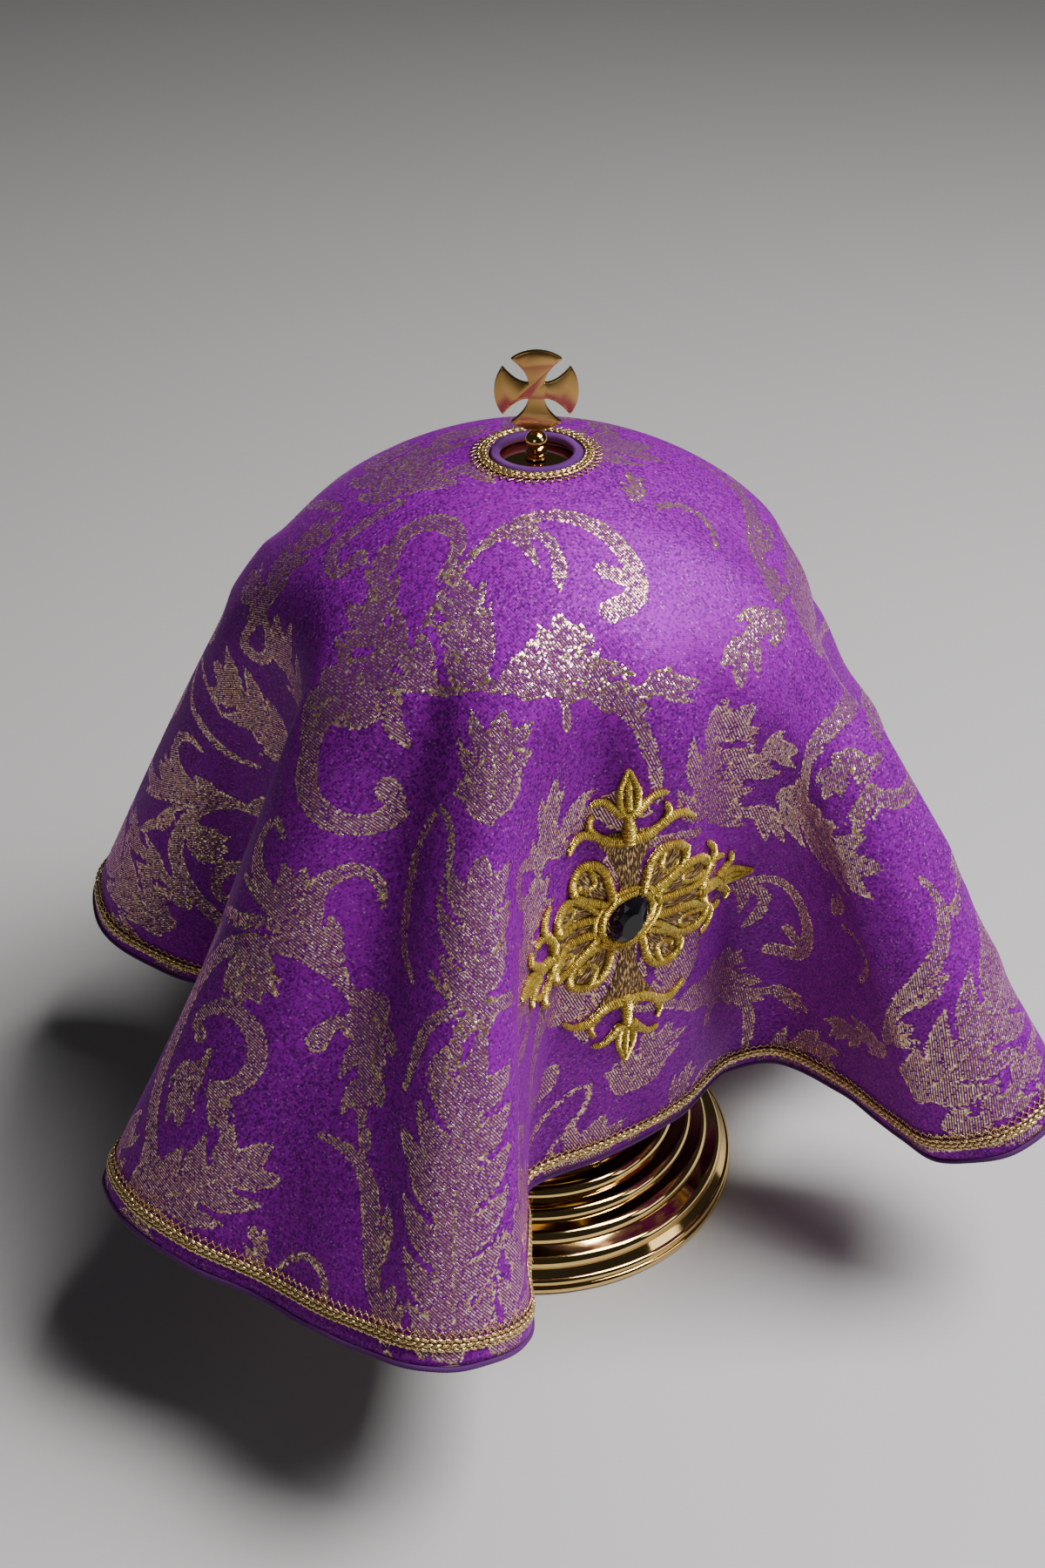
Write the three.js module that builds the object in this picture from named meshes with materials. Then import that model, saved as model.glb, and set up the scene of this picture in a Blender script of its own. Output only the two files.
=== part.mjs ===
// Ciborium veil: a round lined brocade cloth with a bound neck hole, gold braids and an
// embroidered cross, draped over the lidded metal ciborium that it covers.
// Millimetres, +Z up. The origin is the middle of the foot's underside.
import * as THREE from 'three';

// Cloth as it is cut, before it is draped
const CUT_RADIUS = 250;            // cut edge of the binding, measured along the cloth
const NECK_CUT_RADIUS = 12.3;      // where the cloth stops at the neck binding
const HEM_CUT_RADIUS = 247.6;      // where the cloth stops at the hem binding
const CLOTH_THICKNESS = 1.8;       // brocade and satin lining together
const FALL_LENGTH = 247;           // centre to hem in the air, the rest is taken up by ripples
const TOUCH_GAP = 0.3;

// Crown of the draped cloth, outer face
const CROWN_TOP = 243.5;
const CROWN_RADIUS = 96;
const CROWN_EDGE = THREE.MathUtils.degToRad(38);
const CROWN_CENTRE_Z = CROWN_TOP - CROWN_RADIUS;
const CROWN_REACH = CROWN_RADIUS * Math.sin(CROWN_EDGE);
const CROWN_PATH = CROWN_RADIUS * CROWN_EDGE;
const CROWN_ROWS = [NECK_CUT_RADIUS, 29, 46, CROWN_PATH];
const FAN_EASE = 0.14;             // share of the fall in which a fold turns out of its meridian
const FIRST_TURN_MERIDIAN = 227;   // meridian of the crown that runs down to the first turn

// Turns of the hem, seen from above and going round by the right.
// bearing is in degrees from +X, reach is from the axis, and bend is the radius with which
// the cloth leaves the crown above that turn: small over a valley, large over a crest.
const HEM_TURNS = [
  { turn: 'left fold tuck', bearing: 204, reach: 116, bend: 70 },
  { turn: 'left fold edge', bearing: 212, reach: 140, bend: 80 },
  { turn: 'left fold corner', bearing: 220, reach: 145.5, bend: 75 },
  { turn: 'left fold face', bearing: 229, reach: 143.5, bend: 58 },
  { turn: 'front groove', bearing: 238.5, reach: 139, bend: 32 },
  { turn: 'front fold left', bearing: 250, reach: 145.8, bend: 56 },
  { turn: 'front fold crest', bearing: 259, reach: 151, bend: 75 },
  { turn: 'front fold right', bearing: 265, reach: 144, bend: 70 },
  { turn: 'front fold lip', bearing: 269.6, reach: 128, bend: 50 },
  { turn: 'front fold under', bearing: 270, reach: 106, bend: 42 },
  { turn: 'front fold root', bearing: 268.5, reach: 84, bend: 36 },
  { turn: 'cross panel left', bearing: 268, reach: 65, bend: 34 },
  { turn: 'cross panel middle', bearing: 291, reach: 56.5, bend: 40 },
  { turn: 'cross panel right', bearing: 320, reach: 55.5, bend: 40 },
  { turn: 'cross panel valley', bearing: 346, reach: 60, bend: 34 },
  { turn: 'right fold root', bearing: 351.5, reach: 74, bend: 40 },
  { turn: 'right fold flank', bearing: 343.8, reach: 94.4, bend: 50 },
  { turn: 'right fold low side', bearing: 334, reach: 116.5, bend: 60 },
  { turn: 'right fold corner', bearing: 330, reach: 131, bend: 62 },
  { turn: 'right fold crest', bearing: 331.5, reach: 150, bend: 72 },
  { turn: 'right fold tip', bearing: 338, reach: 159.5, bend: 75 },
  { turn: 'right fold back', bearing: 345, reach: 155, bend: 62 },
  { turn: 'right fold tuck', bearing: 352, reach: 128, bend: 50 },
  { turn: 'side valley', bearing: 357, reach: 82, bend: 36 },
  { turn: 'side fold flank', bearing: 6, reach: 92, bend: 45 },
  { turn: 'side fold corner', bearing: 11, reach: 116, bend: 50 },
  { turn: 'side fold crest', bearing: 16, reach: 134, bend: 54 },
  { turn: 'side fold back', bearing: 25, reach: 142, bend: 54 },
  { turn: 'side fold tuck', bearing: 34, reach: 128, bend: 50 },
  { turn: 'back right root', bearing: 37, reach: 94, bend: 40 },
  { turn: 'back right valley', bearing: 42, reach: 66, bend: 34 },
  { turn: 'back right hollow', bearing: 54, reach: 58, bend: 32 },
  { turn: 'back right flank', bearing: 66, reach: 74, bend: 40 },
  { turn: 'back right corner', bearing: 62, reach: 112, bend: 60 },
  { turn: 'back right crest', bearing: 63, reach: 144, bend: 80 },
  { turn: 'back right tip', bearing: 69, reach: 157, bend: 85 },
  { turn: 'back right back', bearing: 77, reach: 150, bend: 75 },
  { turn: 'back right tuck', bearing: 81, reach: 118, bend: 50 },
  { turn: 'back middle root', bearing: 79, reach: 84, bend: 38 },
  { turn: 'back middle valley', bearing: 88, reach: 60, bend: 32 },
  { turn: 'back middle hollow', bearing: 104, reach: 58, bend: 32 },
  { turn: 'back left flank', bearing: 113, reach: 80, bend: 40 },
  { turn: 'back left corner', bearing: 106, reach: 118, bend: 60 },
  { turn: 'back left crest', bearing: 107, reach: 146, bend: 80 },
  { turn: 'back left tip', bearing: 113, reach: 156, bend: 85 },
  { turn: 'back left back', bearing: 121, reach: 153, bend: 75 },
  { turn: 'back left tuck', bearing: 125, reach: 122, bend: 50 },
  { turn: 'back left root', bearing: 123, reach: 90, bend: 38 },
  { turn: 'back left valley', bearing: 132, reach: 62, bend: 32 },
  { turn: 'far left root', bearing: 150, reach: 62, bend: 34 },
  { turn: 'far left flank', bearing: 155, reach: 92, bend: 55 },
  { turn: 'far left corner', bearing: 149, reach: 126, bend: 80 },
  { turn: 'far left crest', bearing: 152, reach: 148, bend: 92 },
  { turn: 'far left tip', bearing: 159.5, reach: 150.5, bend: 95 },
  { turn: 'far left low side', bearing: 166.5, reach: 139.5, bend: 90 },
  { turn: 'far left back', bearing: 168.8, reach: 118, bend: 70 },
  { turn: 'far left tuck', bearing: 169, reach: 94, bend: 50 },
  { turn: 'left valley', bearing: 178, reach: 66, bend: 34 },
  { turn: 'left hollow', bearing: 204, reach: 60, bend: 32 },
  { turn: 'left fold flank', bearing: 212, reach: 82, bend: 40 },
];
const STEPS_PER_TURN = 2;          // facets between two turns
const CURVE_STEPS = 24;            // fine steps used to measure the hem between two turns

// Trims sewn to the cloth
const NECK_BINDING = { radius: 10.7, section: 1.3, height: 242.5 };
const NECK_BRAID = { inner: 12.5, outer: 15.1, thickness: 0.9 };
const HEM_BRAID = { upper: 240.8, lower: 244, thickness: 0.9 };
const HEM_BINDING = { gap: 0.35, section: 1.25, sides: 5 };
const HEM_TURN_START = HEM_CUT_RADIUS - 3;

// Embroidered cross and its stone, on the cloth between the front and the right fold
const CROSS = { fromCentre: 150, meridian: 62.8, lift: 1.2, thickness: 1.1 };
const CROSS_OUTLINE = [
  { angle: 0, reach: 49 }, { angle: 4, reach: 45.5 }, { angle: 9, reach: 41 },
  { angle: 14, reach: 38 }, { angle: 16, reach: 29 }, { angle: 21, reach: 21 },
  { angle: 28, reach: 25 }, { angle: 36, reach: 28 }, { angle: 45, reach: 23 },
];
const CROSS_RINGS = [0.35, 0.7, 1];
const STONE = { halfLength: 6.6, halfWidth: 5, height: 3.6, turn: 20, sides: 16 };

// Ciborium
const ROUND_SIDES = 36;
const SLIM_SIDES = 24;
const FOOT_RINGS = [
  { radius: 60.9, height: 1.4, bead: 1.4 }, { radius: 60.7, height: 4.2, bead: 1.4 },
  { radius: 56.4, height: 8.4, bead: 2.9 }, { radius: 51.4, height: 13.2, bead: 3.1 },
  { radius: 46.6, height: 17.6, bead: 2.8 }, { radius: 41, height: 21.4, bead: 3.2 },
  { radius: 34.2, height: 25.4, bead: 3.4 },
];
const FOOT_TOP = { radius: 14, height: 38 };
const STEM = { base: 38.3, top: 105.2, thin: 6.5, collar: 11, knop: 15, knopHeight: 72 };
const CUP = { base: 105.5, rim: 197.6, rimRadius: 62.5, wall: 2 };
const LID = { base: 197.9, crownRadius: 93.9, edgeAngle: 36, edgeRadius: 24, wall: 2 };
const FINIAL = { base: 241.7, ballHeight: 246.1, ballRadius: 2.85 };
const FINIAL_CROSS = { height: 259.95, radius: 10.7, thickness: 1.6, waist: 2.05, flare: 6.45 };

const FINISHES = {
  brocade: { color: 0x6a1fa0, roughness: 0.55, metalness: 0 },
  binding: { color: 0x3d0a7a, roughness: 0.9, metalness: 0 },
  goldThread: { color: 0xc9a24a, roughness: 0.4, metalness: 0.7 },
  gold: { color: 0xd9a441, roughness: 0.08, metalness: 1 },
  stone: { color: 0x060607, roughness: 0.05, metalness: 0 },
};

const group = new THREE.Group();

function addPiece(name, geometry, finish) {
  const mesh = new THREE.Mesh(geometry, new THREE.MeshStandardMaterial(FINISHES[finish]));
  mesh.name = name;
  group.add(mesh);
}

// Hem line: a smooth closed curve through the turns, measured by its length in plan
function curveBetween(before, from, to, after, share) {
  const knot = (a, b) => Math.sqrt(Math.hypot(b.x - a.x, b.y - a.y));
  const t1 = knot(before, from);
  const t2 = t1 + knot(from, to);
  const t3 = t2 + knot(to, after);
  const t = t1 + (t2 - t1) * share;
  const blend = (a, b, ta, tb) => ({
    x: ((tb - t) * a.x + (t - ta) * b.x) / (tb - ta),
    y: ((tb - t) * a.y + (t - ta) * b.y) / (tb - ta),
    bend: ((tb - t) * a.bend + (t - ta) * b.bend) / (tb - ta),
  });
  const a1 = blend(before, from, 0, t1);
  const a2 = blend(from, to, t1, t2);
  const a3 = blend(to, after, t2, t3);
  const b1 = blend(a1, a2, 0, t2);
  const b2 = blend(a2, a3, t1, t3);
  return blend(b1, b2, t1, t2);
}

function hemCurve() {
  const corners = HEM_TURNS.map(({ bearing, reach, bend }) => {
    const angle = THREE.MathUtils.degToRad(bearing);
    return { x: reach * Math.cos(angle), y: reach * Math.sin(angle), bend };
  });
  const count = corners.length;
  const curve = [];
  for (let i = 0; i < count; i += 1) {
    const near = [-1, 0, 1, 2].map((k) => corners[(i + k + count) % count]);
    for (let k = 0; k < CURVE_STEPS; k += 1) {
      curve.push({ ...curveBetween(...near, k / CURVE_STEPS), along: 0 });
    }
  }
  curve.push({ ...curve[0] });
  for (let i = 1; i < curve.length; i += 1) {
    const step = Math.hypot(curve[i].x - curve[i - 1].x, curve[i].y - curve[i - 1].y);
    curve[i].along = curve[i - 1].along + step;
  }
  return curve;
}

const hem = hemCurve();
const hemLength = hem[hem.length - 1].along;

// Where a fall leaves the crown: the slope at which what is left of the cloth's length
// just reaches out to the hem
function crownProfile(slope, bend) {
  if (slope <= CROWN_EDGE) {
    return {
      radius: CROWN_RADIUS * Math.sin(slope),
      height: CROWN_CENTRE_Z + CROWN_RADIUS * Math.cos(slope),
      path: CROWN_RADIUS * slope,
    };
  }
  const inset = CROWN_RADIUS - bend;
  return {
    radius: inset * Math.sin(CROWN_EDGE) + bend * Math.sin(slope),
    height: CROWN_CENTRE_Z + inset * Math.cos(CROWN_EDGE) + bend * Math.cos(slope),
    path: CROWN_PATH + bend * (slope - CROWN_EDGE),
  };
}

function leavingSlope(reach, bend) {
  let low = THREE.MathUtils.degToRad(20);
  let high = THREE.MathUtils.degToRad(115);
  for (let i = 0; i < 40; i += 1) {
    const slope = (low + high) / 2;
    const edge = crownProfile(slope, bend);
    if (edge.radius + (FALL_LENGTH - edge.path) * Math.cos(slope) > reach) low = slope;
    else high = slope;
  }
  return (low + high) / 2;
}

// One fall of the cloth, from the crown down to a place on the hem. share runs from 0 to 1
// round the hem, and is also the meridian of the flat cloth.
function fallAt(share) {
  const along = (share - Math.floor(share)) * hemLength;
  let low = 0;
  let high = hem.length - 1;
  while (high - low > 1) {
    const middle = Math.floor((low + high) / 2);
    if (hem[middle].along > along) high = middle;
    else low = middle;
  }
  const part = (along - hem[low].along) / (hem[high].along - hem[low].along);
  const x = THREE.MathUtils.lerp(hem[low].x, hem[high].x, part);
  const y = THREE.MathUtils.lerp(hem[low].y, hem[high].y, part);
  const bend = THREE.MathUtils.lerp(hem[low].bend, hem[high].bend, part);
  const reach = Math.hypot(x, y);
  const slope = leavingSlope(reach, bend);
  const edge = crownProfile(slope, bend);
  const meridian = share * 2 * Math.PI + THREE.MathUtils.degToRad(FIRST_TURN_MERIDIAN);
  const apart = Math.atan2(y, x) - meridian;
  const drift = apart - 2 * Math.PI * Math.round(apart / (2 * Math.PI));
  const hemHeight = edge.height - (FALL_LENGTH - edge.path) * Math.sin(slope);
  return { bend, reach, slope, edge, meridian, drift, hemHeight };
}

// A point of the cloth's outer face, at a distance along the cloth from its centre
function onFall(fall, distance) {
  let { radius, height } = fall.edge;
  if (distance <= fall.edge.path) {
    const slope = distance <= CROWN_PATH
      ? distance / CROWN_RADIUS
      : CROWN_EDGE + (distance - CROWN_PATH) / fall.bend;
    ({ radius, height } = crownProfile(slope, fall.bend));
  } else {
    const share = (distance - fall.edge.path) / (CUT_RADIUS - fall.edge.path);
    radius = THREE.MathUtils.lerp(radius, fall.reach, share);
    height = THREE.MathUtils.lerp(height, fall.hemHeight, share);
  }
  const down = THREE.MathUtils.clamp((distance - CROWN_PATH) / (CUT_RADIUS - CROWN_PATH), 0, 1);
  const eased = (down * down * (1 + FAN_EASE)) / (down + FAN_EASE);
  const turned = (eased * fall.reach) / ((1 - eased) * CROWN_REACH + eased * fall.reach);
  const angle = fall.meridian + fall.drift * turned;
  return new THREE.Vector3(radius * Math.cos(angle), radius * Math.sin(angle), height);
}

function clothPoint(share, distance) {
  return onFall(fallAt(share), distance);
}

function clothNormal(share, distance) {
  const sideStep = 0.0015;
  const downStep = 1.5;
  const across = clothPoint(share + sideStep, distance)
    .sub(clothPoint(share - sideStep, distance));
  const down = clothPoint(share, distance + downStep).sub(clothPoint(share, distance - downStep));
  return down.cross(across).normalize();
}

// Shares of the hem at which the facets of the cloth meet
const facetShares = [];
for (let i = 0; i < HEM_TURNS.length * STEPS_PER_TURN; i += 1) {
  facetShares.push(hem[(i * CURVE_STEPS) / STEPS_PER_TURN].along / hemLength);
}

function bufferOf(points, faces) {
  const geometry = new THREE.BufferGeometry();
  const positions = points.flatMap((p) => [p.x, p.y, p.z]);
  geometry.setAttribute('position', new THREE.Float32BufferAttribute(positions, 3));
  geometry.setIndex(faces);
  geometry.computeVertexNormals();
  return geometry;
}

// A closed ring swept from sections: each section is a loop of points, and the last section
// joins the first
function sweptRing(sections) {
  const size = sections[0].length;
  const faces = [];
  sections.forEach((_, i) => {
    const next = (i + 1) % sections.length;
    for (let k = 0; k < size; k += 1) {
      const side = (k + 1) % size;
      const a = i * size + k;
      const b = i * size + side;
      const c = next * size + side;
      const d = next * size + k;
      faces.push(a, b, c, a, c, d);
    }
  });
  return bufferOf(sections.flat(), faces);
}

// Cloth: rows close together where it bends over the lid, far apart where it falls straight
function clothRows() {
  const bends = [73, 82, 91, 101, 113];
  const falls = [140, 175, 210, HEM_BRAID.upper, HEM_TURN_START, HEM_CUT_RADIUS];
  return [...CROWN_ROWS, ...bends, ...falls];
}

function veilCloth() {
  const rows = clothRows();
  const sections = facetShares.map((share) => {
    const outer = [];
    const inner = [];
    rows.forEach((distance) => {
      const point = clothPoint(share, distance);
      const normal = clothNormal(share, distance);
      outer.push(point);
      inner.unshift(point.clone().addScaledVector(normal, -CLOTH_THICKNESS));
    });
    return [...outer, ...inner];
  });
  return sweptRing(sections);
}

// Braid laid flat on the outer face above the hem
function hemBraid() {
  const sections = facetShares.map((share) => {
    const corner = (distance, lift) => clothPoint(share, distance)
      .addScaledVector(clothNormal(share, distance), lift);
    const top = TOUCH_GAP + HEM_BRAID.thickness;
    return [
      corner(HEM_BRAID.upper, top),
      corner(HEM_BRAID.lower, top),
      corner(HEM_BRAID.lower, TOUCH_GAP),
      corner(HEM_BRAID.upper, TOUCH_GAP),
    ];
  });
  return sweptRing(sections);
}

// Rolled binding that closes the cut edge all round the hem
function hemBinding() {
  const { gap, section, sides } = HEM_BINDING;
  const sections = facetShares.map((share) => {
    const normal = clothNormal(share, HEM_CUT_RADIUS);
    const edge = clothPoint(share, HEM_CUT_RADIUS);
    const down = edge.clone().sub(clothPoint(share, HEM_CUT_RADIUS - 4)).normalize();
    const middle = edge.clone()
      .addScaledVector(normal, -CLOTH_THICKNESS / 2)
      .addScaledVector(down, gap + section);
    const loop = [];
    for (let k = 0; k < sides; k += 1) {
      const angle = (k / sides) * 2 * Math.PI;
      loop.push(middle.clone()
        .addScaledVector(normal, section * Math.sin(angle))
        .addScaledVector(down, -section * Math.cos(angle)));
    }
    return loop;
  });
  return sweptRing(sections);
}

// Turned pieces are given as a closed profile of radius and height
function turned(profile, sides = ROUND_SIDES) {
  const points = profile.map(([radius, height]) => new THREE.Vector2(radius, height));
  const startsOnAxis = profile[0][0] === 0;
  if (!startsOnAxis) points.push(points[0].clone());
  return new THREE.LatheGeometry(points, sides).rotateX(Math.PI / 2);
}

function arc(centreRadius, centreHeight, radius, from, to, steps) {
  const points = [];
  for (let i = 0; i <= steps; i += 1) {
    const angle = THREE.MathUtils.degToRad(from + ((to - from) * i) / steps);
    points.push([
      centreRadius + radius * Math.sin(angle),
      centreHeight + radius * Math.cos(angle),
    ]);
  }
  return points;
}

function neckBinding() {
  const { radius, section, height } = NECK_BINDING;
  return turned(arc(radius, height, section, 180, -128.6, 6));
}

// Braid round the neck hole, lying on the crown
function neckBraid() {
  const { inner, outer, thickness } = NECK_BRAID;
  const seat = CROWN_RADIUS + TOUCH_GAP;
  const place = (distance, radius) => {
    const slope = distance / CROWN_RADIUS;
    return [radius * Math.sin(slope), CROWN_CENTRE_Z + radius * Math.cos(slope)];
  };
  return turned([
    place(inner, seat),
    place(outer, seat),
    place(outer, seat + thickness),
    place(inner, seat + thickness),
  ]);
}

// Where the facets of the outer face lie, so that what is sewn on stays just above them
function facetPoint(share, distance) {
  const rows = clothRows();
  let row = rows.findIndex((edge) => edge > distance) - 1;
  if (row < 0) row = rows.length - 2;
  const whole = share - Math.floor(share);
  let column = facetShares.findIndex((edge) => edge > whole) - 1;
  if (column < 0) column = facetShares.length - 1;
  const from = facetShares[column];
  const to = column + 1 < facetShares.length ? facetShares[column + 1] : 1;
  const side = (whole - from) / (to - from);
  const down = (distance - rows[row]) / (rows[row + 1] - rows[row]);
  const a = clothPoint(from, rows[row]);
  const b = clothPoint(from, rows[row + 1]);
  const c = clothPoint(to, rows[row + 1]);
  const d = clothPoint(to, rows[row]);
  if (down >= side) {
    return a.multiplyScalar(1 - down).addScaledVector(b, down - side).addScaledVector(c, side);
  }
  return a.multiplyScalar(1 - side).addScaledVector(d, side - down).addScaledVector(c, down);
}

// A place on the cross, by turn and distance from its middle in the flat cloth
function crossPlace(angle, reach) {
  const upright = THREE.MathUtils.degToRad(CROSS.meridian);
  const u = CROSS.fromCentre - reach * Math.cos(angle);
  const v = reach * Math.sin(angle);
  const distance = Math.hypot(u, v);
  const share = (upright + Math.atan2(v, u)) / (2 * Math.PI);
  return { share, distance };
}

function lifted({ share, distance }, lift) {
  return facetPoint(share, distance).addScaledVector(clothNormal(share, distance), lift);
}

function crossOutline() {
  const eighth = CROSS_OUTLINE.map(({ angle, reach }) => ({
    angle: THREE.MathUtils.degToRad(angle), reach,
  }));
  const mirrored = eighth.slice(1, -1).reverse().map(({ angle, reach }) => ({
    angle: Math.PI / 2 - angle, reach,
  }));
  const quarter = [...eighth, ...mirrored];
  const outline = [];
  for (let arm = 0; arm < 4; arm += 1) {
    quarter.forEach(({ angle, reach }) => {
      outline.push({ angle: angle + (arm * Math.PI) / 2, reach });
    });
  }
  return outline;
}

function crossApplique() {
  const outline = crossOutline();
  const count = outline.length;
  const points = [];
  const faces = [];
  [CROSS.lift, CROSS.lift + CROSS.thickness].forEach((lift, layer) => {
    const first = points.length;
    points.push(lifted(crossPlace(0, 0), lift));
    CROSS_RINGS.forEach((ring) => {
      outline.forEach(({ angle, reach }) => {
        points.push(lifted(crossPlace(angle, reach * ring), lift));
      });
    });
    const add = (a, b, c) => faces.push(...(layer ? [a, c, b] : [a, b, c]));
    for (let k = 0; k < count; k += 1) {
      const next = (k + 1) % count;
      add(first, first + 1 + k, first + 1 + next);
      for (let ring = 1; ring < CROSS_RINGS.length; ring += 1) {
        const inner = first + 1 + (ring - 1) * count;
        const outer = inner + count;
        add(inner + k, outer + k, outer + next);
        add(inner + k, outer + next, inner + next);
      }
    }
  });
  const rim = 1 + (CROSS_RINGS.length - 1) * count;
  const layerSize = 1 + CROSS_RINGS.length * count;
  for (let k = 0; k < count; k += 1) {
    const next = (k + 1) % count;
    const low = rim + k;
    const lowNext = rim + next;
    faces.push(low, lowNext + layerSize, lowNext, low, low + layerSize, lowNext + layerSize);
  }
  return bufferOf(points, faces);
}

// Faceted oval stone in the middle of the cross
function crossStone() {
  const middle = lifted(crossPlace(0, 0), CROSS.lift + CROSS.thickness + TOUCH_GAP);
  const place = crossPlace(0, 0);
  const normal = clothNormal(place.share, place.distance);
  const up = lifted(crossPlace(0, 10), 0).sub(lifted(crossPlace(Math.PI, 10), 0)).normalize();
  const across = new THREE.Vector3().crossVectors(up, normal).normalize();
  const upright = new THREE.Vector3().crossVectors(normal, across).normalize();
  const points = [];
  const faces = [];
  const { halfLength, halfWidth, height, turn, sides } = STONE;
  const lean = THREE.MathUtils.degToRad(turn);
  const levels = [
    { size: 1, lift: 0.75 }, { size: 1, lift: 1.5 }, { size: 0.78, lift: 2.8 },
    { size: 0.5, lift: height },
  ];
  levels.forEach(({ size, lift }) => {
    for (let k = 0; k < sides; k += 1) {
      const angle = (k / sides) * 2 * Math.PI;
      const a = halfLength * size * Math.cos(angle);
      const b = halfWidth * size * Math.sin(angle);
      points.push(middle.clone()
        .addScaledVector(upright, a * Math.cos(lean) - b * Math.sin(lean))
        .addScaledVector(across, a * Math.sin(lean) + b * Math.cos(lean))
        .addScaledVector(normal, lift));
    }
  });
  for (let level = 0; level + 1 < levels.length; level += 1) {
    for (let k = 0; k < sides; k += 1) {
      const next = (k + 1) % sides;
      const low = level * sides;
      const high = low + sides;
      faces.push(low + k, high + k, high + next, low + k, high + next, low + next);
    }
  }
  const top = (levels.length - 1) * sides;
  for (let k = 1; k + 1 < sides; k += 1) {
    faces.push(0, k, k + 1);
    faces.push(top, top + k + 1, top + k);
  }
  return bufferOf(points, faces);
}

// Foot: beaded steps from the rim up to the stem's seat, closed flat below
function ciboriumFoot() {
  const profile = [[0, 0], [FOOT_RINGS[0].radius, 0]];
  FOOT_RINGS.forEach(({ radius, height, bead }, i) => {
    profile.push(...arc(radius, height, bead, i === 0 ? 120 : 100, 14, 2));
  });
  profile.push([24, 29.5], [18, 32], [FOOT_TOP.radius, 36], [FOOT_TOP.radius, FOOT_TOP.height]);
  profile.push([0, FOOT_TOP.height]);
  return turned(profile);
}

// Stem: two collars with a round knop between them
function ciboriumStem() {
  const { base, top, thin, collar, knop, knopHeight } = STEM;
  const profile = [[0, base], [collar, base], [collar, base + 3], [thin, base + 8]];
  profile.push([thin, knopHeight - 15], [thin + 2.5, knopHeight - 12.5]);
  profile.push(...arc(0, knopHeight, knop, 140, 40, 6));
  profile.push([thin + 2.5, knopHeight + 12.5], [thin, knopHeight + 15]);
  profile.push([thin, top - 10], [collar, top - 3], [collar, top], [0, top]);
  return turned(profile, SLIM_SIDES);
}

// Cup: a deep open bowl
function ciboriumCup() {
  const { base, rim, rimRadius, wall } = CUP;
  const outside = [
    [0, base], [11, base], [25, base + 4.5], [38, base + 12.5], [49, base + 24.5],
    [57, base + 42.5], [61, base + 66], [rimRadius, rim - 4], [rimRadius, rim],
  ];
  const inside = [
    [rimRadius - wall, rim], [rimRadius - wall, rim - 4], [61 - wall, base + 66],
    [57 - wall, base + 43.5], [49 - wall, base + 26], [38 - wall, base + 14.5],
    [24, base + 7], [0, base + wall],
  ];
  return turned([...outside, ...inside]);
}

// Lid: a low dome with a rounded edge. It is faceted where the crown of the cloth is, so
// that the two lie evenly on each other.
function ciboriumLid() {
  const { base, crownRadius, edgeAngle, edgeRadius, wall } = LID;
  const edge = THREE.MathUtils.degToRad(edgeAngle);
  const edgeCentre = [
    (crownRadius - edgeRadius) * Math.sin(edge),
    CROWN_CENTRE_Z + (crownRadius - edgeRadius) * Math.cos(edge),
  ];
  const dome = (radius, distance) => [
    radius * Math.sin(distance / CROWN_RADIUS),
    CROWN_CENTRE_Z + radius * Math.cos(distance / CROWN_RADIUS),
  ];
  const domeRows = [0, ...CROWN_ROWS.slice(0, -1)];
  const rim = edgeCentre[0] + edgeRadius;
  const outside = [
    ...domeRows.map((distance) => dome(crownRadius, distance)),
    ...arc(...edgeCentre, edgeRadius, edgeAngle, 90, 4),
    [rim, base],
  ];
  const inside = [
    ...domeRows.map((distance) => dome(crownRadius - wall, distance)),
    ...arc(...edgeCentre, edgeRadius - wall, edgeAngle + 18, 90, 2),
    [rim - wall, base],
  ];
  return turned([...inside, ...outside.reverse()]);
}

// Finial: ringed collar and ball, and the round cross that stands on it
function finialStem() {
  const { base, ballHeight, ballRadius } = FINIAL;
  const profile = [
    [0, base], [2.9, base], [2.9, base + 0.6], [2.2, base + 0.8], [2.6, base + 1.1],
    [2.6, base + 1.5], [1.6, base + 1.7],
  ];
  profile.push(...arc(0, ballHeight, ballRadius, 146, 0, 6));
  return turned(profile, SLIM_SIDES);
}

function finialCross() {
  const { height, radius, thickness, waist, flare } = FINIAL_CROSS;
  const shape = new THREE.Shape();
  const rim = Math.sqrt(radius * radius - flare * flare);
  const tip = Math.atan2(flare, rim);
  for (let arm = 0; arm < 4; arm += 1) {
    const turn = (arm * Math.PI) / 2;
    const place = (along, side) => new THREE.Vector2(
      along * Math.cos(turn) - side * Math.sin(turn),
      along * Math.sin(turn) + side * Math.cos(turn),
    );
    const rightRoot = place(waist, -waist);
    const rightTip = place(rim, -flare);
    const rightPull = place(rim * 0.62, -waist * 1.05);
    const leftPull = place(rim * 0.62, waist * 1.05);
    const leftRoot = place(waist, waist);
    if (arm === 0) shape.moveTo(rightRoot.x, rightRoot.y);
    shape.quadraticCurveTo(rightPull.x, rightPull.y, rightTip.x, rightTip.y);
    for (let k = 1; k <= 6; k += 1) {
      const angle = turn - tip + (2 * tip * k) / 6;
      shape.lineTo(radius * Math.cos(angle), radius * Math.sin(angle));
    }
    shape.quadraticCurveTo(leftPull.x, leftPull.y, leftRoot.x, leftRoot.y);
  }
  const geometry = new THREE.ExtrudeGeometry(shape, {
    depth: thickness, bevelEnabled: false, curveSegments: 5,
  });
  geometry.translate(0, 0, -thickness / 2);
  geometry.rotateX(Math.PI / 2);
  geometry.translate(0, 0, height);
  return geometry;
}

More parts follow.
